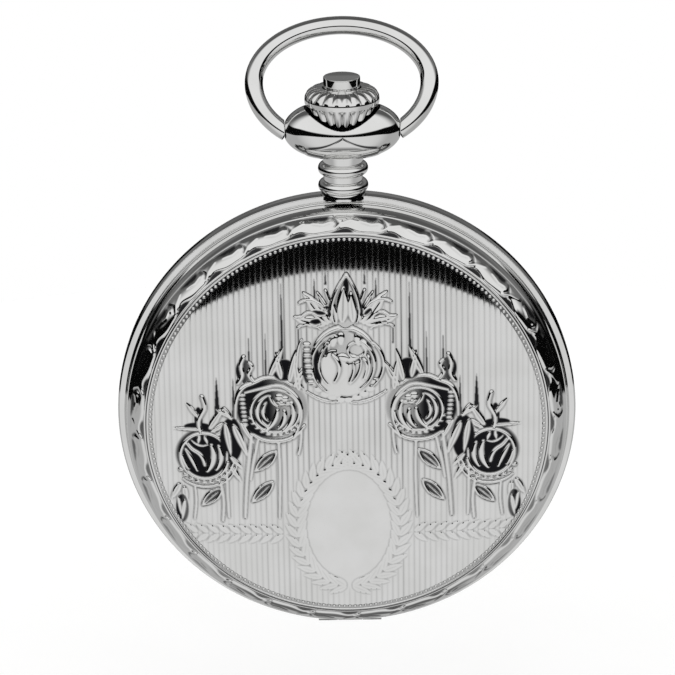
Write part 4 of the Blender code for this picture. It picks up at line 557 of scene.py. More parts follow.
class Spot:
    """A place on a relief with its own axes: u towards the cover's middle line, v up."""

    def __init__(self, relief, x, z, side):
        self.relief = relief
        self.x = x
        self.z = z
        self.side = side

    def at(self, u, v):
        """The place of local axes on the cover."""
        return (self.side * (self.x - u), self.z + v)

    def leaf(self, u, v, angle, length, width, height=0.17, edged=False):
        """A leaf; its angle counts from the way to the middle line."""
        turned = angle if self.side < 0 else 180 - angle
        if edged:
            self.relief.edged_leaf(*self.at(u, v), turned, length, width, height)
        else:
            self.relief.leaf(*self.at(u, v), turned, length, width, height)

    def curve(self, start, pull, end, thick, height=0.18):
        """A ridge along a pulled curve."""
        self.relief.curve(self.at(*start), self.at(*pull), self.at(*end), thick, height)

    def path(self, points, thick, height=0.18):
        """A ridge along a polyline whose corners are cut twice."""
        points = np.array(points, float)
        for _ in range(2):
            first, last = points[:-1], points[1:]
            cut = np.stack([0.75 * first + 0.25 * last, 0.25 * first + 0.75 * last], axis=1)
            points = np.concatenate([points[:1], cut.reshape(-1, 2), points[-1:]])
        self.relief.line([self.at(*point) for point in points], thick, height, 0.3)

    def arc(self, u, v, wide, tall, start, end, thick, height=0.18):
        """A ridge along an ellipse, its angles counted from the way to the middle line."""
        if self.side > 0:
            start, end = 180 - end, 180 - start
        self.relief.arc(*self.at(u, v), wide, tall, start, end, thick, height)

    def dome(self, u, v, wide, tall, height=0.17):
        """A boss."""
        self.relief.dome(*self.at(u, v), wide, tall, height)

    def ground(self, u, v, wide, tall, depth, outer, inner):
        """A cleared ground, with painted shade from its outer side to its inner one."""
        left, right = (outer, inner) if self.side < 0 else (inner, outer)
        self.relief.ground(*self.at(u, v), wide, tall, depth, left, right)


def lower_rose(relief, side):
    """The outer, half-open rose: a ring, a calyx and long petals over a cup with painted shade, with beads
    below it.
    """
    spot = Spot(relief, 14.85, -2.75, side)
    # painted shade over the rose's grounds and its cup
    spot.ground(0.2, 0.2, 3.3, 3.1, 0.05, 0.75, 0.9)
    for k in range(9):
        turn = math.radians(212 + 14 * k)
        spot.dome(2.95 * math.cos(turn), 2.95 * math.sin(turn), 0.3, 0.26)
    spot.arc(0, -0.1, 3.45, 3.4, 225, 345, 0.36, 0.15)
    spot.ground(0, 0, 2.55, 2.6, 0.06, 1.0, 1.0)
    spot.arc(0, 0, 2.5, 2.55, 0, 359.9, 0.42, 0.2)
    spot.arc(0.2, 0.0, 2.85, 2.8, -75, 75, 0.3, 0.16)
    spot.curve((-1.3, 1.75), (-0.5, 0.85), (0.4, 1.3), 0.3, 0.19)
    spot.leaf(-0.45, 2.35, -100, 1.0, 0.42)
    spot.leaf(0.05, 2.35, -72, 1.1, 0.42)
    spot.path([(-1.85, 1.5), (-1.3, 0.75), (-0.5, 0.3), (-0.1, -0.4), (0.0, -1.05)], 0.5, 0.2)
    spot.curve((-1.95, 0.75), (-1.35, -0.2), (-0.8, -1.65), 0.52, 0.2)
    spot.curve((-2.3, 0.1), (-2.2, -0.7), (-1.65, -1.45), 0.38, 0.18)
    spot.curve((0.75, 1.25), (1.35, -0.4), (0.25, -1.7), 0.68, 0.2)
    spot.curve((1.5, 1.15), (2.15, -0.1), (1.2, -1.5), 0.6, 0.2)
    spot.ground(-0.6, 3.3, 1.5, 0.45, 0.03, 0.9, 0.9)
    spot.ground(-0.5, 4.2, 0.45, 1.3, 0.03, 0.9, 0.9)
    spot.path([(-0.3, 2.6), (-0.6, 3.8), (-0.1, 4.8), (0.25, 5.4), (-0.1, 6.6)], 0.52)
    spot.leaf(-0.1, 2.95, 178, 3.1, 0.42)
    spot.leaf(-0.5, 4.3, 128, 2.0, 0.55, 0.14)
    spot.leaf(0.55, 3.0, 57, 3.0, 0.72)
    spot.leaf(0.7, 2.7, 32, 2.6, 0.6)
    spot.leaf(1.2, 2.4, 18, 2.3, 0.55)
    spot.leaf(1.7, 1.9, 44, 2.2, 0.6)
    spot.leaf(-0.4, -5.6, 43, 2.9, 1.0, 0.15, True)
    spot.leaf(-2.6, -3.1, -118, 2.2, 0.7)
    spot.leaf(-2.2, -3.4, -88, 2.4, 0.7)
    spot.ground(-2.5, -6.0, 0.7, 1.7, 0.02, 1.0, 0.6)
    spot.leaf(-2.2, -4.9, -98, 2.6, 0.5)
    spot.leaf(-2.9, -4.6, -84, 2.2, 0.4)
    spot.path([(1.6, -2.9), (1.9, -5.0), (1.7, -7.4)], 0.36, 0.14)
    spot.path([(-1.1, -3.4), (-1.0, -5.2), (-1.25, -7.2)], 0.3, 0.13)


def middle_rose(relief, side):
    """The rose beside the centre: crescent petals round a knot, in a beaded ring under a double frame."""
    spot = Spot(relief, 7.3, 2.3, side)
    # painted shade over the grounds, dark on the outer side and light towards the middle
    spot.ground(-0.4, 0.35, 3.9, 3.55, 0.04, 1.0, 0.25)
    spot.path([(-4.2, -0.9), (-4.15, 1.2), (-3.5, 2.6), (-2.2, 3.1), (-1.0, 3.75), (0.7, 3.5), (1.7, 2.8)],
              0.45, 0.2)
    spot.path([(-3.2, 2.0), (-1.6, 2.45), (0.3, 2.9), (1.5, 2.3), (2.5, 1.0), (2.7, -0.8), (1.9, -2.6)],
              0.4, 0.19)
    for k in range(8):
        spot.dome(-3.35 - 0.12 * math.cos(k * 0.4), 1.75 - 0.46 * k, 0.36, 0.19)
    for k in range(10):
        turn = math.radians(196 + 14 * k)
        spot.dome(2.75 * math.cos(turn), 2.65 * math.sin(turn), 0.3, 0.2)
    spot.ground(-0.1, 0, 2.5, 2.4, 0.05, 1.0, 0.2)
    spot.arc(-0.1, 0, 2.5, 2.35, 0, 359.9, 0.36, 0.19)
    spot.arc(-0.1, 0.0, 1.85, 1.85, 108, 258, 0.52, 0.2)
    spot.arc(-0.15, 0.0, 1.2, 1.3, 128, 240, 0.5, 0.2)
    spot.curve((-0.6, 1.65), (-0.45, 0.9), (0.2, 0.5), 0.42, 0.19)
    for u, v, size in ((0.35, 1.55, 0.42), (0.95, 1.35, 0.38), (0.6, 0.85, 0.36), (1.2, 0.8, 0.3),
                       (0.25, 1.05, 0.24)):
        spot.dome(u, v, size, size * 0.88, 0.18)
    spot.curve((0.15, 0.1), (0.1, -1.3), (-1.35, -2.2), 0.6, 0.2)
    spot.curve((0.85, 0.0), (1.1, -1.1), (0.2, -1.9), 0.55, 0.19)
    spot.curve((1.6, 0.9), (2.3, -0.9), (0.7, -2.1), 0.6, 0.2)
    spot.path([(-2.4, -2.6), (-1.4, -3.3), (0.4, -3.45), (1.9, -2.9), (2.9, -1.6)], 0.42, 0.15)
    spot.ground(-3.2, 4.4, 0.9, 1.3, 0.02, 0.9, 0.6)
    spot.path([(-3.9, 3.0), (-3.3, 3.9), (-3.6, 5.0), (-3.2, 5.9)], 0.5)
    spot.path([(-2.2, 3.2), (-2.9, 4.0), (-2.3, 4.8), (-2.7, 5.3)], 0.42)
    spot.ground(0.9, 4.5, 1.3, 1.2, 0.02, 0.9, 0.9)
    spot.leaf(-0.6, 3.7, 66, 3.6, 0.75)
    spot.leaf(0.6, 3.5, 100, 3.0, 0.75)
    spot.leaf(1.4, 3.1, 78, 3.6, 0.7)
    spot.leaf(1.9, 2.6, 62, 3.2, 0.75)
    spot.leaf(2.4, 2.2, 96, 3.3, 0.8)
    spot.ground(-4.7, -3.2, 1.2, 2.6, 0.05, 1.0, 1.0)
    spot.leaf(-5.3, -1.2, -82, 3.9, 0.72)
    spot.leaf(-4.5, -1.4, -68, 4.0, 0.85)
    spot.leaf(-3.7, -1.1, -62, 2.8, 0.6)
    spot.leaf(-4.9, -5.0, -48, 1.9, 0.55)
    spot.leaf(-4.9, -6.0, -60, 2.2, 0.6)
    spot.leaf(-4.6, -1.0, 120, 1.7, 0.5)
    spot.leaf(-4.5, -0.8, 150, 2.0, 0.5)
    spot.leaf(-2.35, -6.7, 44, 3.2, 1.05, 0.15, True)
    spot.leaf(-2.7, -10.2, 46, 3.2, 1.05, 0.15, True)
    spot.path([(-2.6, -2.6), (-2.9, -5.0), (-3.3, -8.6), (-3.5, -12.0)], 0.46, 0.15)
    spot.path([(-1.9, -3.1), (-2.4, -5.2), (-2.8, -7.6)], 0.34, 0.13)
    spot.path([(0.2, -3.6), (0.3, -7.0), (0.1, -12.0)], 0.34, 0.13)
    spot.path([(-5.2, -4.6), (-5.3, -8.2), (-5.2, -12.0)], 0.34, 0.13)
    spot.path([(2.6, -2.0), (2.5, -3.6), (2.2, -4.8)], 0.36, 0.15)


def centre_flower(relief):
    """The large flower under its leaf crown, with a band over it and beads at its side."""
    # grounds with painted shade: light over the flower, dark in the slits beside it
    relief.ground(-0.2, 7.3, 4.2, 4.3, 0.0, 0.3, 0.0)
    relief.dome(-1.3, 6.3, 1.75, 2.7, 0.13, 0.4)
    relief.dome(1.4, 6.4, 1.45, 2.3, 0.12, 0.4, -12)
    relief.dome(0.1, 5.1, 2.0, 1.2, 0.12, 0.4)
    relief.ground(0.55, 8.7, 1.55, 1.25, 0.0, 0.15, 0.05)
    relief.arc(1.1, 8.85, 0.9, 0.8, 0, 359.9, 0.26, 0.12)
    relief.dome(-0.25, 8.05, 0.62, 0.42, 0.13, 0.5, -18)
    relief.dome(0.6, 7.95, 0.55, 0.4, 0.13, 0.5, 14)
    for k, (dx, dz) in enumerate(((-1.9, 9.5), (-1.25, 9.9), (-0.5, 10.1), (1.25, 10.0), (1.95, 9.4))):
        relief.dome(dx, dz, 0.4, 0.7, 0.14, 0.5, 12 * (k - 2))
    relief.ground(-2.0, 9.0, 0.13, 0.75, 0.02, 1.0, 1.0, -8)
    relief.curve((-1.35, 8.3), (-0.1, 7.1), (-1.2, 5.5), 0.5, 0.24)
    relief.curve((0.75, 7.6), (1.0, 6.6), (0.3, 5.4), 0.32, 0.23)
    relief.curve((1.5, 8.2), (1.75, 6.4), (0.4, 5.3), 0.32, 0.23)
    relief.curve((1.75, 7.9), (2.5, 7.4), (1.75, 5.7), 0.32, 0.22)
    relief.curve((2.3, 8.1), (2.6, 6.8), (2.0, 5.8), 0.28, 0.2)
    relief.ground(-2.95, 7.2, 0.36, 2.2, 0.05, 1.0, 1.0, 4)
    relief.arc(-0.35, 7.3, 3.2, 3.35, 105, 240, 0.4, 0.2)
    relief.arc(-0.35, 7.3, 2.45, 2.7, 120, 235, 0.3, 0.19)
    relief.arc(-0.1, 7.3, 3.0, 3.0, -62, 60, 0.4, 0.2)
    relief.arc(0.1, 7.3, 3.75, 3.3, -50, 48, 0.34, 0.16)
    relief.arc(-0.2, 6.9, 3.6, 4.35, 30, 148, 0.55, 0.2)
    relief.ground(-4.0, 7.5, 0.55, 2.3, 0.03, 0.8, 0.55)
    for k in range(8):
        relief.dome(-4.0 + 0.05 * k - 0.12 * math.sin(k * 0.5), 9.5 - 0.58 * k, 0.42, 0.26, 0.19)
    relief.arc(-4.3, 7.4, 0.75, 2.7, 100, 262, 0.28, 0.17)
    for k in range(10):
        turn = math.radians(207 + 14 * k)
        relief.dome(-0.2 + 3.45 * math.cos(turn), 7.0 + 3.45 * math.sin(turn), 0.5, 0.4, 0.09)
    relief.curve((-4.1, 4.4), (-2.4, 3.1), (-0.9, 3.3), 0.36, 0.13)
    relief.curve((4.1, 4.4), (2.2, 3.0), (0.5, 3.2), 0.36, 0.13)


def leaf_crown(relief):
    """The crown of leaves over the flower: a tall outlined leaf, two slim ones and two curled pairs."""
    relief.ground(0.0, 13.8, 1.4, 2.9, 0.02, 0.1, 0.1)
    # gaps: ellipses painted dark as shade between the leaves
    gaps = (((-2.75, 12.9, 0.75, 0.2, -8), (-3.05, 11.95, 0.6, 0.28, 4), (-2.0, 13.35, 0.34, 0.2, 48)),
            ((2.3, 12.95, 0.5, 0.18, 42), (3.35, 12.75, 0.55, 0.2, 36), (3.85, 11.75, 0.4, 0.16, 24)))
    for side, dark in zip((-1, 1), gaps):
        relief.leaf(1.45 * side, 11.8, 90 - 20 * side, 3.6, 0.9, 0.16, -0.06 * side)
        relief.leaf(1.7 * side, 11.7, 90 - 44 * side, 4.2, 1.4, 0.17, 0.10 * side, 0.3)
        relief.leaf(2.1 * side, 11.6, 90 - 68 * side, 3.3, 1.3, 0.16, -0.12 * side, 0.3)
        for x, z, wide, tall, turn in dark:
            relief.ground(x, z, wide, tall, 0.03, 1.0, 1.0, turn)
        relief.curve((1.9 * side, 13.0), (3.2 * side, 14.9), (4.7 * side, 13.9), 0.36, 0.19)
        relief.curve((2.4 * side, 11.9), (3.4 * side, 13.6), (4.5 * side, 12.4), 0.34, 0.18)
        relief.curve((2.6 * side, 11.2), (3.9 * side, 12.1), (4.9 * side, 11.3), 0.34, 0.17)
        relief.curve((1.3 * side, 13.4), (1.7 * side, 14.2), (2.0 * side, 15.2), 0.28, 0.16)
        # a slit beside the tall leaf painted dark as shade
        relief.ground(1.55 * side, 13.5, 0.16, 1.15, 0.03, 1.0, 1.0, 10 * side)
    # the tall leaf's tip painted dark as shade
    relief.ground(0.1, 15.6, 0.3, 1.0, 0.02, 1.0, 1.0)
    relief.leaf(-0.35, 11.8, 84, 3.9, 1.3, 0.17, 0.04, 0.6)
    relief.leaf(0.75, 11.8, 88, 3.2, 1.0, 0.16, 0.08, 0.4)
    relief.leaf(-0.95, 11.7, 104, 2.6, 0.8, 0.16, -0.05, 0.4)
    for side in (-1, 1):
        relief.curve((1.15 * side, 11.8), (2.0 * side, 13.9), (0.15, 16.8), 0.34, 0.2, 0.2)


def wreath(relief, wide, tall, middle, stations, length, width):
    """A laurel wreath along an ellipse, of pairs of slanting leaves that climb both sides."""
    for side in (-1, 1):
        for k in range(stations):
            turn = -math.pi / 2 + side * math.pi * (k + 0.4) / stations
            x = wide * math.cos(turn)
            z = middle + tall * math.sin(turn)
            ahead = math.degrees(math.atan2(side * tall * math.cos(turn), -side * wide * math.sin(turn)))
            relief.leaf(x, z, ahead - 36, length, width, 0.085, 0.06, 0.3)
            relief.leaf(x, z, ahead + 36, length * 0.92, width * 0.92, 0.085, -0.06, 0.3)


def laurel(relief):
    """The level laurel band and the wreath round the oval, both of paired slanting leaves."""
    relief.ground(0.0, CARTOUCHE_Z, 6.1, 8.0, 0.0, 0.0, 0.0)
    wreath(relief, *WREATH, CARTOUCHE_Z, 19, 2.1, 0.84)
    for side in (-1, 1):
        for k in range(11):
            x = side * (6.9 + 1.12 * k)
            relief.leaf(x, -11.5, 90 - side * 58, 1.6, 0.66, 0.095, 0.08 * side, 0.3)
            relief.leaf(x, -11.7, -90 + side * 58, 1.6, 0.66, 0.095, -0.08 * side, 0.3)


def dome_height(radius):
    """Height of the plain crowned field: a square and an eighth power that bends down at the field's edge."""
    share = radius / FIELD
    return APEX - CROWNING * share ** 2 - EDGE_CURL * share ** 8


def softened(values, reach):
    """A map averaged over a square window, by running sums along both axes."""
    for axis in (0, 1):
        padded = np.concatenate([np.repeat(np.take(values, [0], axis), reach + 1, axis), values,
                                 np.repeat(np.take(values, [-1], axis), reach, axis)], axis)
        total = np.cumsum(padded, axis)
        size = 2 * reach + 1
        count = values.shape[axis]
        values = (np.take(total, range(size, size + count), axis) - np.take(total, range(count), axis)) / size
    return values


def groove_shade(x, z, across):
    """Painted shade in the grooves between reeds: uneven from reed to reed, and strongest beside the middle.
    """
    number = np.floor(x / REED_PITCH + 0.5)
    uneven = 0.5 + 0.5 * np.sin(number * 2.4) * np.cos(number * 0.9)
    near = np.exp(-((np.abs(x) - 8.0) / 5.0) ** 2 - ((z - 6.0) / 6.0) ** 2)
    strength = 0.3 + 0.7 * np.exp(-((np.abs(x) - 6.0) / 6.0) ** 2)
    strength = strength * (0.5 + 0.5 * np.clip((z + 10.0) / 7.0, 0, 1))
    depth = 0.5 * across ** 2 + 0.5 * across ** 6
    return depth * (0.32 + 0.42 * uneven + 0.5 * near * uneven) * strength


def streak_shade(x, z):
    """Painted dark reflections as streaks in some of the grooves, each growing from a point at its top to
    full width at its foot.
    """
    shade = np.zeros_like(x)
    for place, high, low, width in REFLECTION_STREAKS:
        centre = (round(place / REED_PITCH - 0.5) + 0.5) * REED_PITCH
        share = np.clip((high - z) / (high - low), 0, 1)
        for side in (-1, 1):
            inside = np.abs(x - side * centre) < width * share ** 0.7
            shade = np.maximum(shade, inside * (z > low) * (share > 0))
    return softened(shade, 1)


def struck_map(draw, streaked):
    """Relief and painted shade of a struck field on a fine square grid.

    A reed's height is one minus the cube of the offset across it, and it gives way where a form covers it.
    The forms are softened a little. The painted shade is the greatest of the ground's painted shade, that of
    the grooves between reeds, the streaks of painted dark reflection, and that where a point lies below its
    surroundings' mean, which counts most round the roses.
    """
    x, z = np.meshgrid(MAP_AXIS, MAP_AXIS, indexing="ij")
    relief = Relief(x, z)
    draw(relief)
    bare = 1 - softened(relief.cover, 1)
    across = 2 * np.abs((x / REED_PITCH) % 1 - 0.5)
    raised = softened(softened(relief.raised, 1), 1)
    surface = REED_HEIGHT * (1 - across ** 3) * bare + raised
    below = softened(softened(raised, 3), 3) - raised
    roses = np.exp(-((np.abs(x) - 10.0) / 6.0) ** 2 - (z / 6.5) ** 2)
    roses = np.clip(roses + np.exp(-(x / 5.0) ** 2 - ((z - 10.0) / 6.0) ** 2), 0, 1)
    # painted shade in fine creases, and where the relief lies below its softened surroundings
    fine = np.clip((softened(raised, 2) - raised) / 0.015, 0, 1) * 0.55
    dark = np.maximum(np.clip(below / 0.06, 0, 1) ** 1.2 * (0.25 + 0.9 * roses), fine)
    grooves = groove_shade(x, z, across) * bare
    # painted dark reflection in some of the grooves
    streaks = streak_shade(x, z) * bare * streaked
    laid = 1 - (1 - np.clip(softened(relief.shade, 1), 0, 1)) ** 2
    shade = np.maximum(np.maximum(dark, grooves), np.maximum(streaks * 0.97, laid))
    return surface, np.clip(shade * 1.02, 0, 1)


def sampled(values, x, z):
    """A map's values between its grid points, by two-way linear blending."""
    i = np.clip((x - MAP_AXIS[0]) / MAP_STEP, 0, len(MAP_AXIS) - 1.001)
    j = np.clip((z - MAP_AXIS[0]) / MAP_STEP, 0, len(MAP_AXIS) - 1.001)
    i0, j0 = i.astype(int), j.astype(int)
    a, b = i - i0, j - j0
    return (values[i0, j0] * (1 - a) * (1 - b) + values[i0 + 1, j0] * a * (1 - b)
            + values[i0, j0 + 1] * (1 - a) * b + values[i0 + 1, j0 + 1] * a * b)


def draw_front(relief):
    """The front cover's ornament, in the order in which it was laid."""
    laurel(relief)
    relief.ground(0.0, CARTOUCHE_Z, *CARTOUCHE, 0.0, 0.0, 0.0)
    for side in (-1, 1):
        lower_rose(relief, side)
        middle_rose(relief, side)
    centre_flower(relief)
    leaf_crown(relief)


def draw_back(relief):
    """The back cover's ornament: a laurel wreath round a plain oval."""
    wreath(relief, 7.6, 9.6, 0.0, 24, 2.1, 0.85)
    relief.ground(0, 0, 6.3, 8.3, 0.0, 0.0, 0.0)


def field_pieces(name, draw, body, strips, columns, rows, back=False):
    """The field in upright strips, each column's points spread along its own chord.

    A point's height is the plain dome's plus the struck map's. The two ends of each column are turned down.
    """
    surface, dark = struck_map(draw, not back)
    edges = np.linspace(-FIELD_EDGE + 1e-3, FIELD_EDGE - 1e-3, strips + 1)
    pieces = []
    for k in range(strips):
        across = np.linspace(edges[k], edges[k + 1], columns + 1)
        share = np.concatenate([[-1.0], np.linspace(-1, 1, rows), [1.0]])
        x = across[:, None] + 0 * share[None, :]
        z = np.sqrt(FIELD_EDGE ** 2 - x ** 2) * share[None, :]
        level = dome_height(np.hypot(x, z)) + sampled(surface, x, z)
        level[:, 0] -= 0.2
        level[:, -1] -= 0.2
        # painted shade and painted dark reflection of each point; the turned-down ends are painted fully dark
        recess = sampled(dark, x, z)
        recess[:, [0, -1]] = 1.0
        if back:
            level = 2 * MID - level
        else:
            x, z, level, recess = x[::-1], z[::-1], level[::-1], recess[::-1]
        points = np.stack([x, -level, z], axis=-1)
        faces = grid_faces(columns + 1, rows + 2).tolist()
        piece = mesh_piece(f"{name}_{k + 1}", points.reshape(-1, 3), faces, body)
        darken(piece, recess)
        set_normals(piece, points, back)
        pieces.append(piece)
    return pieces


def darken(piece, recess):
    """Stores the painted shade and painted dark reflection of each point of a piece, for its material."""
    layer = piece.data.attributes.new("recess", "FLOAT", "POINT")
    layer.data.foreach_set("value", np.ascontiguousarray(recess, dtype=np.float32).ravel())


def engraved(piece, rule):
    """Stores a piece's painted shade as a rule of each point's x, y and z in millimetres."""
    places = np.empty(len(piece.data.vertices) * 3, dtype=np.float32)
    piece.data.vertices.foreach_get("co", places)
    x, y, z = places.reshape(-1, 3).T / MM
    darken(piece, np.clip(rule(x, y, z), 0, 1))
    return piece


def set_normals(piece, points, back):
    """Gives a strip of the field the normals of the whole field, so that its edges don't show."""
    normal = np.cross(np.gradient(points, axis=0), np.gradient(points, axis=1))
    normal /= np.linalg.norm(normal, axis=-1, keepdims=True) + 1e-12
    normal *= np.sign(normal[..., 1:2]) * (1.0 if back else -1.0)
    normal[:, :2] = normal[:, 2:3]
    normal[:, -2:] = normal[:, -3:-2]
    piece.data.normals_split_custom_set_from_vertices(normal.reshape(-1, 3).tolist())


def border_forms(along, radius, length, up):
    """How high the border's ribbon and leaves stand, and how much painted shade lies in the gaps beside them.

    The ribbon's middle and width follow sines along the border. Its gaps open by turns outside and inside it,
    and their painted shade is darker where the border faces up.
    """
    relief = Relief(along, radius)
    wave = 2 * np.pi * along / length
    off = radius - RIBBON_RING - 0.2 * np.sin(wave)
    half = 0.52 + 0.06 * np.sin(2 * wave + 1.0)
    relief.raised = 0.15 * np.sqrt(np.clip(1 - (off / half) ** 2, 0, 1))
    outer_gap = np.clip((off - half) / 0.06, 0, 1) * np.clip(0.2 - np.sin(wave + 0.3), 0, 1)
    inner_gap = np.clip((-off - half) / 0.06, 0, 1) * np.clip(0.2 + np.sin(wave + 0.3), 0, 1)
    # the gaps' painted shade is darker where the border faces up
    above = 0.5 + 0.5 * np.clip(up + 0.6, 0, 1)
    relief.shade = np.clip((outer_gap + inner_gap * 0.8) * 2.4, 0, 1) * above
    for shift in (-length, 0.0, length):
        relief.ground(shift + 0.35, 21.95, 0.32, 0.6, 0.03, 0.9, 0.9, 35)
        relief.line([(shift + 0.1, 21.4), (shift + 0.9, 21.95), (shift + 2.0, 22.3)], 0.42, 0.2, 0.5)
        relief.line([(shift + 2.9, 22.2), (shift + 4.0, 22.0), (shift + 5.0, 22.2)], 0.32, 0.2, 0.5)
        relief.dome(shift + 0.05, 22.0, 0.36, 0.3, 0.18)
    raised = softened(relief.raised, 1)
    below = softened(raised, 3) - raised
    return raised, np.clip(np.maximum(below / 0.08 * 0.6, softened(relief.shade, 1)), 0, 0.97)


def border_piece(name, body, back=False):
    """The border between the field and the wall: two raised lines, then a wavy ribbon with leaves over it.

    Columns go round the cover and rows go outward. A point's height is the shoulder's, which falls with a
    power of the way out, plus the forms'. The ground under the beads has painted shade, darkest where it
    faces up.
    """
    columns, rows = 1680, 44
    turn = np.linspace(0, 2 * np.pi, columns, endpoint=False)[None, :]
    radius = np.linspace(FIELD_EDGE - 0.12, BORDER_OUTER, rows)[:, None] + 0 * turn
    outward = np.clip((radius - BORDER_INNER) / (BORDER_OUTER - BORDER_INNER), 0, 1)
    level = BORDER_TOP - BORDER_FALL * outward ** 1.9
    length = 2 * math.pi * BORDER_MEAN / BORDER_REPEATS
    along = ((turn / (2 * np.pi) * BORDER_REPEATS + 0.25) % 1) * length + 0 * radius
    around = turn if back else -turn
    raised, recess = border_forms(along, radius, length, np.sin(around))
    for ring in BORDER_LINES:
        level = level + 0.07 * np.clip(1 - ((radius - ring) / 0.1) ** 2, 0, 1)
        recess = np.where(np.abs(radius - ring) < 0.1, 0, recess)
    # a line painted dark as shade between the two raised lines
    recess = np.where(np.abs(radius - sum(BORDER_LINES) / 2) < 0.045, 0.85, recess)
    # painted shade and painted dark reflection under the beads, darkest on the cover's upper side
    under_beads = 0.4 + 0.6 * np.clip(np.sin(around) * 2.2 - 0.6, 0, 1)
    recess = np.where(radius < BEAD_GROUND, under_beads, recess)
    fade = np.clip((BORDER_OUTER - radius) / 0.15, 0, 1)
    level = level + raised * fade
    level[0] -= 0.15
    y = level - 2 * MID if back else -level
    points = np.stack([radius * np.cos(around), y, radius * np.sin(around)], axis=-1)
    faces = grid_faces(rows, columns, False, True).tolist()
    piece = mesh_piece(name, points.reshape(-1, 3), faces, body)
    darken(piece, recess * fade)
    return piece


def bead_row(name, body, back=False):
    """The ring of small beads: one half ball of a few faces, repeated round the circle."""
    lift = np.array([0.0, 0.5, 1.0]) * np.pi / 2
    spin = np.linspace(0, 2 * np.pi, 7, endpoint=False)
    ball = np.stack([np.cos(lift)[:, None] * np.cos(spin), np.cos(lift)[:, None] * np.sin(spin),
                     np.sin(lift)[:, None] + 0 * spin], axis=-1) * 0.21
    turn = np.linspace(0, 2 * np.pi, BEAD_COUNT, endpoint=False)[:, None, None]
    out = BEAD_RING + ball[None, ..., 1]
    side = ball[None, ..., 0]
    level = 11.43 + ball[None, ..., 2] + 0 * turn
    x = out * np.cos(turn) - side * np.sin(turn)
    z = out * np.sin(turn) + side * np.cos(turn)
    y = level - 2 * MID if back else -level
    points = np.stack([x, y, z], axis=-1)
    faces = np.concatenate([grid_faces(3, 7, False, True, 21 * k) for k in range(BEAD_COUNT)])
    if back:
        faces = faces[:, ::-1]
    thing = mesh_piece(name, points.reshape(-1, 3), faces.tolist(), body)
    weld(thing, False)
    thing.data.shade_smooth()
    return thing


# ---------------------------------------------------------------- covers, band and glass

def cover_shell(name, body, back=False):
    """A cover's shell: a sunk ground under the struck field, the round shoulder, the wall with its lip, and
    the hollow inside, which follows the field's dome."""
    ground = [(r, dome_height(r) - 0.14) for r in (0.0, 5, 10, 15, 20.0)]
    outer = rounded([(SHOULDER, 11.36), (BORDER_OUTER, 10.01), (22.9, 9.55), (23.1, 8.35)], 0.3, 6)
    lip = rounded([(23.1, 8.3), (23.14, 8.1), (WALL_RADIUS, 7.95), (WALL_RADIUS, LID_RIM), (22.82, LID_RIM)],
                  0.12, 4)
    inner = rounded([(22.8, LID_RIM + 0.02), (22.45, 9.6), (22.0, 10.5),
                     (SHOULDER, dome_height(SHOULDER) - SHELL)], 0.4, 4)
    inside = [(r, dome_height(r) - SHELL) for r in (20.0, 15, 10, 5, 0.0)]
    profile = np.array(list(ground) + list(outer) + list(lip) + list(inner) + inside)
    if back:
        profile[:, 1] = 2 * MID - profile[:, 1]
    return turned_case(name, profile, body, 288, 50)


def knuckle(name, start, end, height, body):
    """A hinge's barrel along X with a bore, as a ring carried from end to end."""
    across = np.array([start, start, (start + end) / 2, end, end, (start + end) / 2])
    radius = np.array([0.24, 0.44, 0.45, 0.44, 0.24, 0.24])
    spin = np.linspace(0, 2 * np.pi, 28, endpoint=False)[None, :]
    points = np.stack([across[:, None] + 0 * spin, -height + radius[:, None] * np.cos(spin),
                       HINGE_Z + radius[:, None] * np.sin(spin)], axis=-1)
    return grid_piece(name, points, body, (True, True), 40)


def brick(name, low, high, body):
    """A block with rounded edges: a sphere's sines raised to a small power, stretched between two corners."""
    low, high = np.array(low), np.array(high)
    lift = np.linspace(-np.pi / 2, np.pi / 2, 17)[:, None]
    spin = np.linspace(-np.pi, np.pi, 32, endpoint=False)[None, :]
    power = 0.18

    def bulge(value):
        return np.sign(value) * np.abs(value) ** power

    unit = np.stack([bulge(np.cos(lift)) * bulge(np.cos(spin)), bulge(np.cos(lift)) * bulge(np.sin(spin)),
                     bulge(np.sin(lift)) + 0 * spin], axis=-1)
    unit[[0, -1], :, :2] = 0.0
    return grid_piece(name, (low + high) / 2 + unit * (high - low) / 2, body, (False, True), 50)


def make_covers():
    """Both covers and the lip of the front one."""
    lid = [cover_shell("lid_shell", "front_cover"), border_piece("lid_border", "front_cover"),
           bead_row("lid_beads", "front_cover"),
           knuckle("lid_knuckle_barrel", -KNUCKLE_HALF, KNUCKLE_HALF, LID_HINGE, "front_cover")]
    lid += field_pieces("lid_field", draw_front, "front_cover", 5, 156, 500)
    lid.append(brick("lid_catch_lip", (-1.2, -7.93, 22.46), (1.2, -7.68, 23.0), "front_cover"))
    for piece in lid:
        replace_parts(piece, "front_cover")
    back = [cover_shell("back_shell", "back_cover", True), border_piece("back_border", "back_cover", True),
            bead_row("back_beads", "back_cover", True),
            knuckle("back_knuckle_barrel", -KNUCKLE_HALF, KNUCKLE_HALF, BACK_HINGE, "back_cover")]
    back += field_pieces("back_field", draw_back, "back_cover", 3, 200, 260, True)
    for piece in back:
        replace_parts(piece, "back_cover")


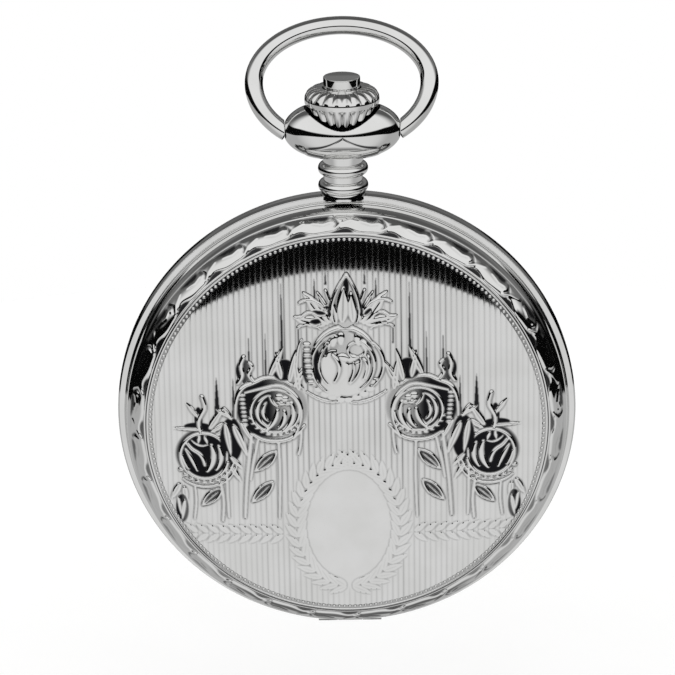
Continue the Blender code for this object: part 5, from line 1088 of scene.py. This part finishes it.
def make_band():
    """The case middle: a smooth turned band with a low lip on each side, and its outer hinge barrels."""
    profile = rounded([(MIDDLE_BORE, 4.7), (MIDDLE_RADIUS, 4.7), (MIDDLE_RADIUS, 5.5), (BAND_EDGE, 5.5),
                       (BAND_RADIUS, 6.0), (BAND_RADIUS, 7.0), (BAND_EDGE, 7.5), (MIDDLE_RADIUS, 7.5),
                       (MIDDLE_RADIUS, 8.3), (MIDDLE_BORE, 8.3), (MIDDLE_BORE, 4.7)], 0.07, 4)
    pieces = [turned_case("case_band", profile, "case", 320, 50)]
    for number, height in enumerate((LID_HINGE, BACK_HINGE)):
        for side, low in (("left", -KNUCKLE_HALF - 2.1), ("right", KNUCKLE_HALF + 0.1)):
            pieces.append(knuckle(f"band_barrel_{side}_{number + 1}", low, low + 2.0, height, "case"))
    for piece in pieces:
        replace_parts(piece, "case_middle")


def make_glasses():
    """Both bezels, and the front crystal as a shell under a parabola."""
    front = rounded([(20.27, 10.0), (20.9, 10.05), (BEZEL_RADIUS, 9.25), (BEZEL_RADIUS, 8.35), (19.92, 8.35),
                     (19.92, 8.72), (19.47, 8.72), (19.47, 9.25), (20.27, 9.25), (20.27, 10.0)], 0.18, 3)
    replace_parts(turned_case("front_bezel_ring", front, "case", 256, 40), "front_bezel")
    back = rounded([(BEZEL_RADIUS, 3.9), (19.715, 2.3), (18.445, 2.3), (18.445, 2.9), (17.565, 2.9),
                    (17.565, 3.2), (18.365, 3.2), (18.365, 4.65), (BEZEL_RADIUS, 4.65), (BEZEL_RADIUS, 3.9)],
                   0.12, 3)
    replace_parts(turned_case("back_bezel_ring", back, "case", 256, 40), "back_bezel")
    share = np.linspace(0, 1, 14)
    rise = CRYSTAL_RISE * (1 - share ** 2)
    outer = np.stack([CRYSTAL_RADIUS * share, CRYSTAL_OUTSIDE + rise], axis=1)
    inner = np.stack([CRYSTAL_RADIUS * share, CRYSTAL_INSIDE + rise], axis=1)
    dome = turned_case("front_crystal_dome", np.concatenate([outer, inner[::-1]]), "case", 160, 40, "crystal")
    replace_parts(dome, "front_crystal")


def make_dial():
    """The enamel dial with a minute track, hour figures and a seconds ring."""
    profile = rounded([(1.32, 8.7), (1.32, DIAL_FACE), (19.0, DIAL_FACE), (19.16, DIAL_FACE - 0.15),
                       (19.16, 8.7), (1.32, 8.7)], 0.06, 2)
    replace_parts(turned_case("dial_plate", profile, "case", 240, 40, "dial_enamel"), "dial")
    rings = [(0.0, radius, 0.07) for radius in reversed(MINUTE_RING)]
    rings += [(SECONDS_Z, radius, 0.06) for radius in reversed(SECONDS_RING)]
    low, high = DIAL_FACE - 0.01, DIAL_FACE + 0.015
    turn = np.linspace(0, 2 * np.pi, 180, endpoint=False)[None, :]
    for k, (z, radius, width) in enumerate(rings):
        section = np.array([(width, low), (width, high), (-width, high), (-width, low)])
        out = radius + section[:, :1]
        points = np.stack([out * np.cos(turn), -section[:, 1:] + 0 * turn, z + out * np.sin(turn)], axis=-1)
        ring = grid_piece(f"dial_ring_{k + 1}", points, "case", (True, True), 40, "blued_hand", ink)
        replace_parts(ring, "dial")
    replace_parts(ticks("minute_marks", 0.0, 60, MINUTE_RING, 0.11, 5, 0.34), "dial")
    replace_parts(ticks("seconds_marks", SECONDS_Z, 60, SECONDS_RING, 0.05, 10, 0.13), "dial")
    for hour in range(1, 13):
        if hour != 6:
            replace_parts(figure(str(hour), hour), "dial")


def ticks(name, middle, count, ring, width, every, wide):
    """Short bars between two circles, each a flat box; every so many, a wider one."""
    turn = np.linspace(0, 2 * np.pi, count, endpoint=False)[:, None]
    half = np.where(np.arange(count) % every == 0, wide, width)[:, None] / 2
    inner, outer = ring
    out = np.array([inner, inner, outer, outer] * 2)[None, :]
    side = np.array([-1, 1, 1, -1] * 2)[None, :] * half
    level = np.array([DIAL_FACE - 0.01] * 4 + [DIAL_FACE + 0.02] * 4)[None, :] + 0 * turn
    x = out * np.sin(turn) + side * np.cos(turn)
    z = middle + out * np.cos(turn) - side * np.sin(turn)
    box = np.array([(4, 5, 6, 7), (3, 2, 1, 0), (0, 1, 5, 4), (1, 2, 6, 5), (2, 3, 7, 6), (3, 0, 4, 7)])
    faces = (box[None] + 8 * np.arange(count)[:, None, None]).reshape(-1, 4)
    points = np.stack([x, -level, z], axis=-1).reshape(-1, 3)
    return weld(mesh_piece(name, points, faces.tolist(), "case", 40, "blued_hand", ink))


def figure(text, hour):
    """An hour figure, drawn as text, made a mesh and set upright on the dial."""
    curve = bpy.data.curves.new("figure", "FONT")
    curve.body = text
    curve.size = FIGURE_SIZE * MM
    curve.extrude = 0.02 * MM
    curve.align_x = "CENTER"
    curve.align_y = "CENTER"
    drawn = bpy.data.objects.new("figure", curve)
    bpy.context.scene.collection.objects.link(drawn)
    bpy.context.view_layer.update()
    mesh = bpy.data.meshes.new_from_object(drawn.evaluated_get(bpy.context.evaluated_depsgraph_get()))
    bpy.data.objects.remove(drawn)
    turn = math.radians(30 * hour)
    place = Vector((FIGURE_RING * math.sin(turn), -DIAL_FACE, FIGURE_RING * math.cos(turn))) * MM
    mesh.transform(Matrix.Translation(place) @ Matrix.Rotation(math.pi / 2, 4, "X"))
    mesh.materials.clear()
    mesh.materials.append(ink)
    thing = bpy.data.objects.new("hour_figure_" + text, mesh)
    bpy.context.scene.collection.objects.link(thing)
    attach(thing, "case")
    return thing


# ---------------------------------------------------------------- pendant, crown and bow

def make_neck():
    """The neck: beads and a flared foot turned about the pendant's axis, the foot lowered onto the case."""
    profile = [(1.5, NECK_TOP + 0.6), (2.05, NECK_TOP + 0.6), (2.05, 27.2)]
    for level in reversed(BEAD_LEVELS):
        swing = np.linspace(np.pi / 2, -np.pi / 2, 15)
        profile += list(np.stack([2.02 + 0.55 * np.cos(swing) ** 0.8, level + 0.575 * np.sin(swing)], axis=1))
    flare = np.linspace(0, 1, 12)
    profile += list(np.stack([2.2 + 0.14 * np.sqrt(flare), 24.12 - 1.2 * flare], axis=1))
    profile += [(1.5, 22.9)]
    profile = np.array(profile)
    turn = np.linspace(0, 2 * np.pi, 120, endpoint=False)[None, :]
    x = profile[:, :1] * np.cos(turn)
    y = profile[:, :1] * np.sin(turn)
    z = profile[:, 1:] + 0 * turn
    z = np.maximum(z, np.sqrt(23.5 ** 2 - x ** 2))
    points = np.stack([x, y - MID, z], axis=-1)
    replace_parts(grid_piece("pendant_turning", points, "case", (True, True), 50), "pendant_neck")


def collar_radius(along):
    """Radius of the barrel at a distance from its middle: a blunt oval."""
    return COLLAR_BELLY * np.sqrt(1 - np.abs(along / COLLAR_TIP) ** 2.6)


def panel_edge(along):
    """How far below the ridge the panel's edge lies: it falls quickly from the middle and levels out."""
    return 1.32 * (1 - (1 - np.clip(np.abs(along) / 4.0, 0, 1)) ** 2.2)


def cup_height(out):
    """Height of the crown's cup at a distance from the pendant's axis: flat, then a cone, open outside it."""
    slope = np.clip((out - CUP_FLAT) / (CUP_WIDE - CUP_FLAT), 0, 1)
    cup = CROWN_LOW - 0.2 + slope * (CROWN_CONE - CROWN_LOW + 0.2)
    return np.where(out > CUP_WIDE, 99.0, cup)


def collar_shade(x, y, z):
    """Painted shade in the cup and along the panel's edge, where the line swells outward."""
    out = np.hypot(x, y + MID)
    inside = np.clip((cup_height(out) + 0.06 - z) / 0.05, 0, 1) * (np.abs(cup_height(out) - z) < 0.06)
    inside = np.where(out < 3.9, inside, 0.0)
    half = 0.05 + 0.09 * np.clip(np.abs(x) / 3.0, 0, 1)
    line = np.clip(1.6 - np.abs(PIVOT - z - panel_edge(x)) / half, 0, 1)
    line = line * np.clip((3.9 - np.abs(x)) / 0.5, 0, 1)
    return np.maximum(inside, 0.96 * line)


def make_collar():
    """The collar: a barrel along X whose upper side drops to the crown's cup wherever the cup is lower.

    Its front and back meet in a ridge that is sharpest in the middle. Below the ridge a low panel swells
    inside a curve that runs down and out from the middle, with a line of painted shade along it; the cup has
    painted shade inside.
    """
    inner = np.linspace(-COLLAR_HALF, COLLAR_HALF, 261)
    along = np.concatenate([[-COLLAR_HALF + 0.3, -COLLAR_HALF], inner, [COLLAR_HALF, COLLAR_HALF - 0.3]])
    along = along[:, None]
    radius = collar_radius(along)
    radius[[0, 1, -2, -1]] = 0.56
    swing = np.linspace(0, 2 * np.pi, 360, endpoint=False)[None, :]
    off = np.abs(swing % np.pi - 0.5 * np.pi)
    middle = np.clip(1 - (along / COLLAR_HALF) ** 2, 0, 1)
    ridge = 0.075 * middle ** 2.5 * np.exp(-np.sqrt(off ** 2 + 0.0015) / 0.4)
    drop = np.clip(-COLLAR_BELLY * np.cos(swing), 0.0, None)
    panel = np.clip((drop - panel_edge(along)) / 0.2, 0, 1) * np.clip((3.95 - np.abs(along)) / 0.4, 0, 1)
    radius = radius * (1 + ridge) + 0.07 * panel ** 2 * (3 - 2 * panel) * (radius > 0.6)
    y = radius * np.sin(swing)
    z = PIVOT + radius * np.cos(swing)
    x = along + 0 * swing
    out = np.hypot(x, y)
    z = np.minimum(z, cup_height(out))
    points = np.stack([x, y - MID, z], axis=-1)
    barrel = grid_piece("collar_barrel", points, "case", (False, True), 60)
    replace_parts(engraved(barrel, collar_shade), "bow_collar")


def make_bow():
    """The bow: a round section carried along two half ellipses, tilted about its pivot, with its pins."""
    face = COLLAR_HALF + BOW_GAP
    low = math.acos(face / BOW_WIDE) + 0.03
    angle = np.linspace(-low, np.pi + low, 181)[:, None]
    tall = np.where(np.sin(angle) > 0, 5.91, 6.57)
    spin = np.linspace(0, 2 * np.pi, 28, endpoint=False)[None, :]
    x = BOW_WIDE * np.cos(angle)
    h = 4.88 + tall * np.sin(angle)
    slope_x = -BOW_WIDE * np.sin(angle)
    slope_h = tall * np.cos(angle)
    size = np.hypot(slope_x, slope_h)
    out_x, out_h = slope_h / size, -slope_x / size
    px = x + BOW_WIRE * np.cos(spin) * out_x
    ph = h + BOW_WIRE * np.cos(spin) * out_h
    depth = BOW_WIRE * np.sin(spin) + 0 * angle
    px = np.where((np.abs(px) < face) & (ph < 2.5), np.sign(x) * face, px)
    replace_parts(grid_piece("bow_wire", tilted(px, depth, ph), "bow", (False, True), 60), "bow")
    for side, name in ((-1, "bow_pin_left"), (1, "bow_pin_right")):
        across = np.array([4.8, 4.85, 6.4, 6.4])[:, None] * side
        radius = np.array([0.0, 0.49, 0.49, 0.0])[:, None]
        pin = tilted(across + 0 * spin, radius * np.sin(spin), radius * np.cos(spin))
        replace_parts(grid_piece(name, pin, "bow", (False, True), 50), "bow")


def tilted(x, depth, height):
    """Points of the bow's own frame, leaned back about the pivot."""
    y = -MID + depth * math.cos(BOW_TILT) + height * math.sin(BOW_TILT)
    z = PIVOT - depth * math.sin(BOW_TILT) + height * math.cos(BOW_TILT)
    return np.stack([x, y, z], axis=-1)


def crown_shade(x, y, z):
    """Painted shade in the line round the crown's widest part, and between the lobes."""
    out = np.hypot(x, y + MID)
    line = (np.abs(z - CROWN_LINE) < 0.055) * (out < 3.75)
    turn = np.arctan2(y + MID, x)
    gap = np.abs(np.sin(FLUTES / 2 * turn)) ** 2
    lobed = np.clip((CROWN_CONE - 0.7 - z) / 0.8, 0, 1) + np.clip((z - CROWN_LINE - 0.25) / 0.4, 0, 1) * 0.6
    return line * 0.97 + (out > 2.0) * np.clip(1 - gap / 0.22, 0, 1) * lobed * 0.75


def make_crown():
    """The crown: rounded lobes on a dome and a cone, each ring's radius pulled in between the lobes."""
    rings = [(CROWN_LOW, 0.0, 0.0), (CROWN_LOW, 2.25, 0.1), (CROWN_LOW + 0.12, 2.42, 0.24)]
    for t in np.linspace(0.05, 1, 12):
        level = CROWN_LOW + 0.12 + (CROWN_CONE - CROWN_LOW - 0.12) * t
        depth = 0.26 * math.sin(math.pi * min(1, (1 - t) * 2.2 + 0.02) / 2) ** 0.5
        rings.append((level, 2.42 + 1.36 * t ** 0.75, depth))
    rings += [(CROWN_CONE + 0.05, CROWN_WIDE - 0.02, 0.0), (CROWN_LINE - 0.06, CROWN_WIDE, 0.0),
              (CROWN_LINE - 0.05, CROWN_WIDE - 0.16, 0.0), (CROWN_LINE + 0.05, CROWN_WIDE - 0.16, 0.0),
              (CROWN_LINE + 0.06, CROWN_WIDE - 0.02, 0.0)]
    for t in np.linspace(0.06, 1, 14):
        level = CROWN_LINE + 0.06 + (CROWN_HIGH - CROWN_LINE - 0.06) * math.sin(0.5 * math.pi * t)
        depth = 0.26 * math.sin(math.pi * min(1.0, t * 0.93 + 0.03)) ** 0.7
        rings.append((level, 2.13 + 1.67 * math.cos(0.5 * math.pi * t), depth))
    rings += [(CROWN_HIGH, 2.1, 0.0), (CROWN_HIGH - 0.08, 1.99, 0.0), (33.3, 1.99, 0.0), (33.3, 0.0, 0.0)]
    rings = np.array(rings)
    turn = np.linspace(0, 2 * np.pi, FLUTES * 14, endpoint=False)[None, :]
    lobe = 1 - np.abs(np.cos(FLUTES / 2 * turn)) ** 0.8
    radius = rings[:, 1:2] - rings[:, 2:3] * lobe
    points = np.stack([radius * np.cos(turn), radius * np.sin(turn) - MID, rings[:, :1] + 0 * turn], axis=-1)
    lobes = grid_piece("crown_lobes", points, "crown", (False, True), 50)
    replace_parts(engraved(lobes, crown_shade), "crown")
    push = rounded([(0.0, 34.25), (PUSH_WIDE, 34.25), (PUSH_WIDE, PUSH_HIGH), (0.0, PUSH_HIGH)], 0.1, 4)
    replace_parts(turned_pendant("push_button", push, "push_piece", 96, 40), "push_piece")


# ---------------------------------------------------------------- stage

def make_world():
    """A soft studio: plain white, which the metal sees in three tones by height.

    They are a pale floor up to a horizon that is highest in front, brighter in front and dark straight below;
    a dark belt, which is grey behind; and a bright upper part, which is dim behind.
    """
    world = bpy.data.worlds.new("studio")
    bpy.context.scene.world = world
    world.use_nodes = True
    tree = world.node_tree
    background = tree.nodes["Background"]
    way = Wire(tree, tree.nodes.new("ShaderNodeTexCoord").outputs["Generated"])
    rise = way.part("Z")
    level = (1.0 - rise * rise).maths("MAXIMUM", 0.0001).maths("SQRT")
    front = (0.0 - way.part("Y")) / level
    horizon = front.step(0.3, 1.0) * 0.165 - 0.25 - (1.0 - front.step(-0.8, -0.4)) * 0.045
    above = (rise - horizon).step(-0.006, 0.006)
    over = (rise + front.step(0.5, 0.95) * 0.09).step(0.21, 0.28)
    ahead = front.step(-0.3, 0.4)
    upper = ahead * 0.76 + 0.1 + (1.0 - ahead) * (1.0 - rise.step(0.35, 0.65)) * 0.08
    belt = (1.0 - front.step(-0.7, -0.2)) * rise.step(0.02, 0.1) * 0.12 + 0.002
    deep = (0.0 - rise).step(0.86, 0.96)
    lower = (front.step(0.35, 0.92) * 0.29 + 0.46) * (1.0 - deep * 0.72)
    tone = (1.0 - above) * lower + above * over * upper + above * (1.0 - over) * belt
    path = tree.nodes.new("ShaderNodeLightPath")
    glossy = Wire(tree, path.outputs["Is Glossy Ray"])
    strength = glossy * tone + (1.0 - glossy) * 1.0
    tree.links.new(strength.socket, background.inputs["Strength"])
    background.inputs["Color"].default_value = (1, 1, 1, 1)


def make_floor():
    """The pale floor under the hanging watch: white to the camera but for the watch's shadow."""
    turn = np.linspace(0, 2 * np.pi, 96, endpoint=False)[None, :]
    radius = np.array([0.01, 60.0, 170.0])[:, None]
    points = np.stack([radius * np.cos(turn), radius * np.sin(turn), -46.0 + 0 * radius * turn], axis=-1)
    mesh = bpy.data.meshes.new("floor")
    mesh.from_pydata(points.reshape(-1, 3) * MM, [], grid_faces(3, 96, False, True).tolist())
    thing = bpy.data.objects.new("floor", mesh)
    bpy.context.scene.collection.objects.link(thing)
    material, shader, place = new_material("pale_floor", (0.9, 0.9, 0.9), 0.0, 0.9)
    grain = place.noise(90.0, 3.0)
    feed(shader, "Base Color", grain.tint((0.89, 0.89, 0.885), (0.91, 0.91, 0.91)))
    path = material.node_tree.nodes.new("ShaderNodeLightPath")
    seen = Wire(material.node_tree, path.outputs["Is Camera Ray"])
    shader.inputs["Emission Color"].default_value = (1, 1, 1, 1)
    material.node_tree.links.new((seen * 0.14).socket, shader.inputs["Emission Strength"])
    mesh.materials.append(material)
    thing.visible_glossy = False


def make_camera():
    """The camera, at the place, direction and angle of view worked out from the photograph's outlines."""
    data = bpy.data.cameras.new("camera")
    data.lens = 179.2
    data.sensor_width = 36.0
    camera = bpy.data.objects.new("camera", data)
    bpy.context.scene.collection.objects.link(camera)
    yaw, pitch, roll = -0.0026, 0.348, -0.0167
    ahead = Vector((math.sin(yaw) * math.cos(pitch), math.cos(yaw) * math.cos(pitch), -math.sin(pitch)))
    right = ahead.cross(Vector((0, 0, 1))).normalized()
    up = right.cross(ahead)
    level_right = math.cos(roll) * right + math.sin(roll) * up
    level_up = -math.sin(roll) * right + math.cos(roll) * up
    turn = Matrix((level_right, level_up, -ahead)).transposed()
    camera.matrix_world = Matrix.Translation((0, -0.33589, 0.12752)) @ turn.to_4x4()
    bpy.context.scene.camera = camera


make_camera()
make_world()
make_floor()
dress_nodes()
make_covers()
make_band()
make_glasses()
make_dial()
make_neck()
make_collar()
make_bow()
make_crown()
bpy.context.scene.view_settings.view_transform = "Standard"
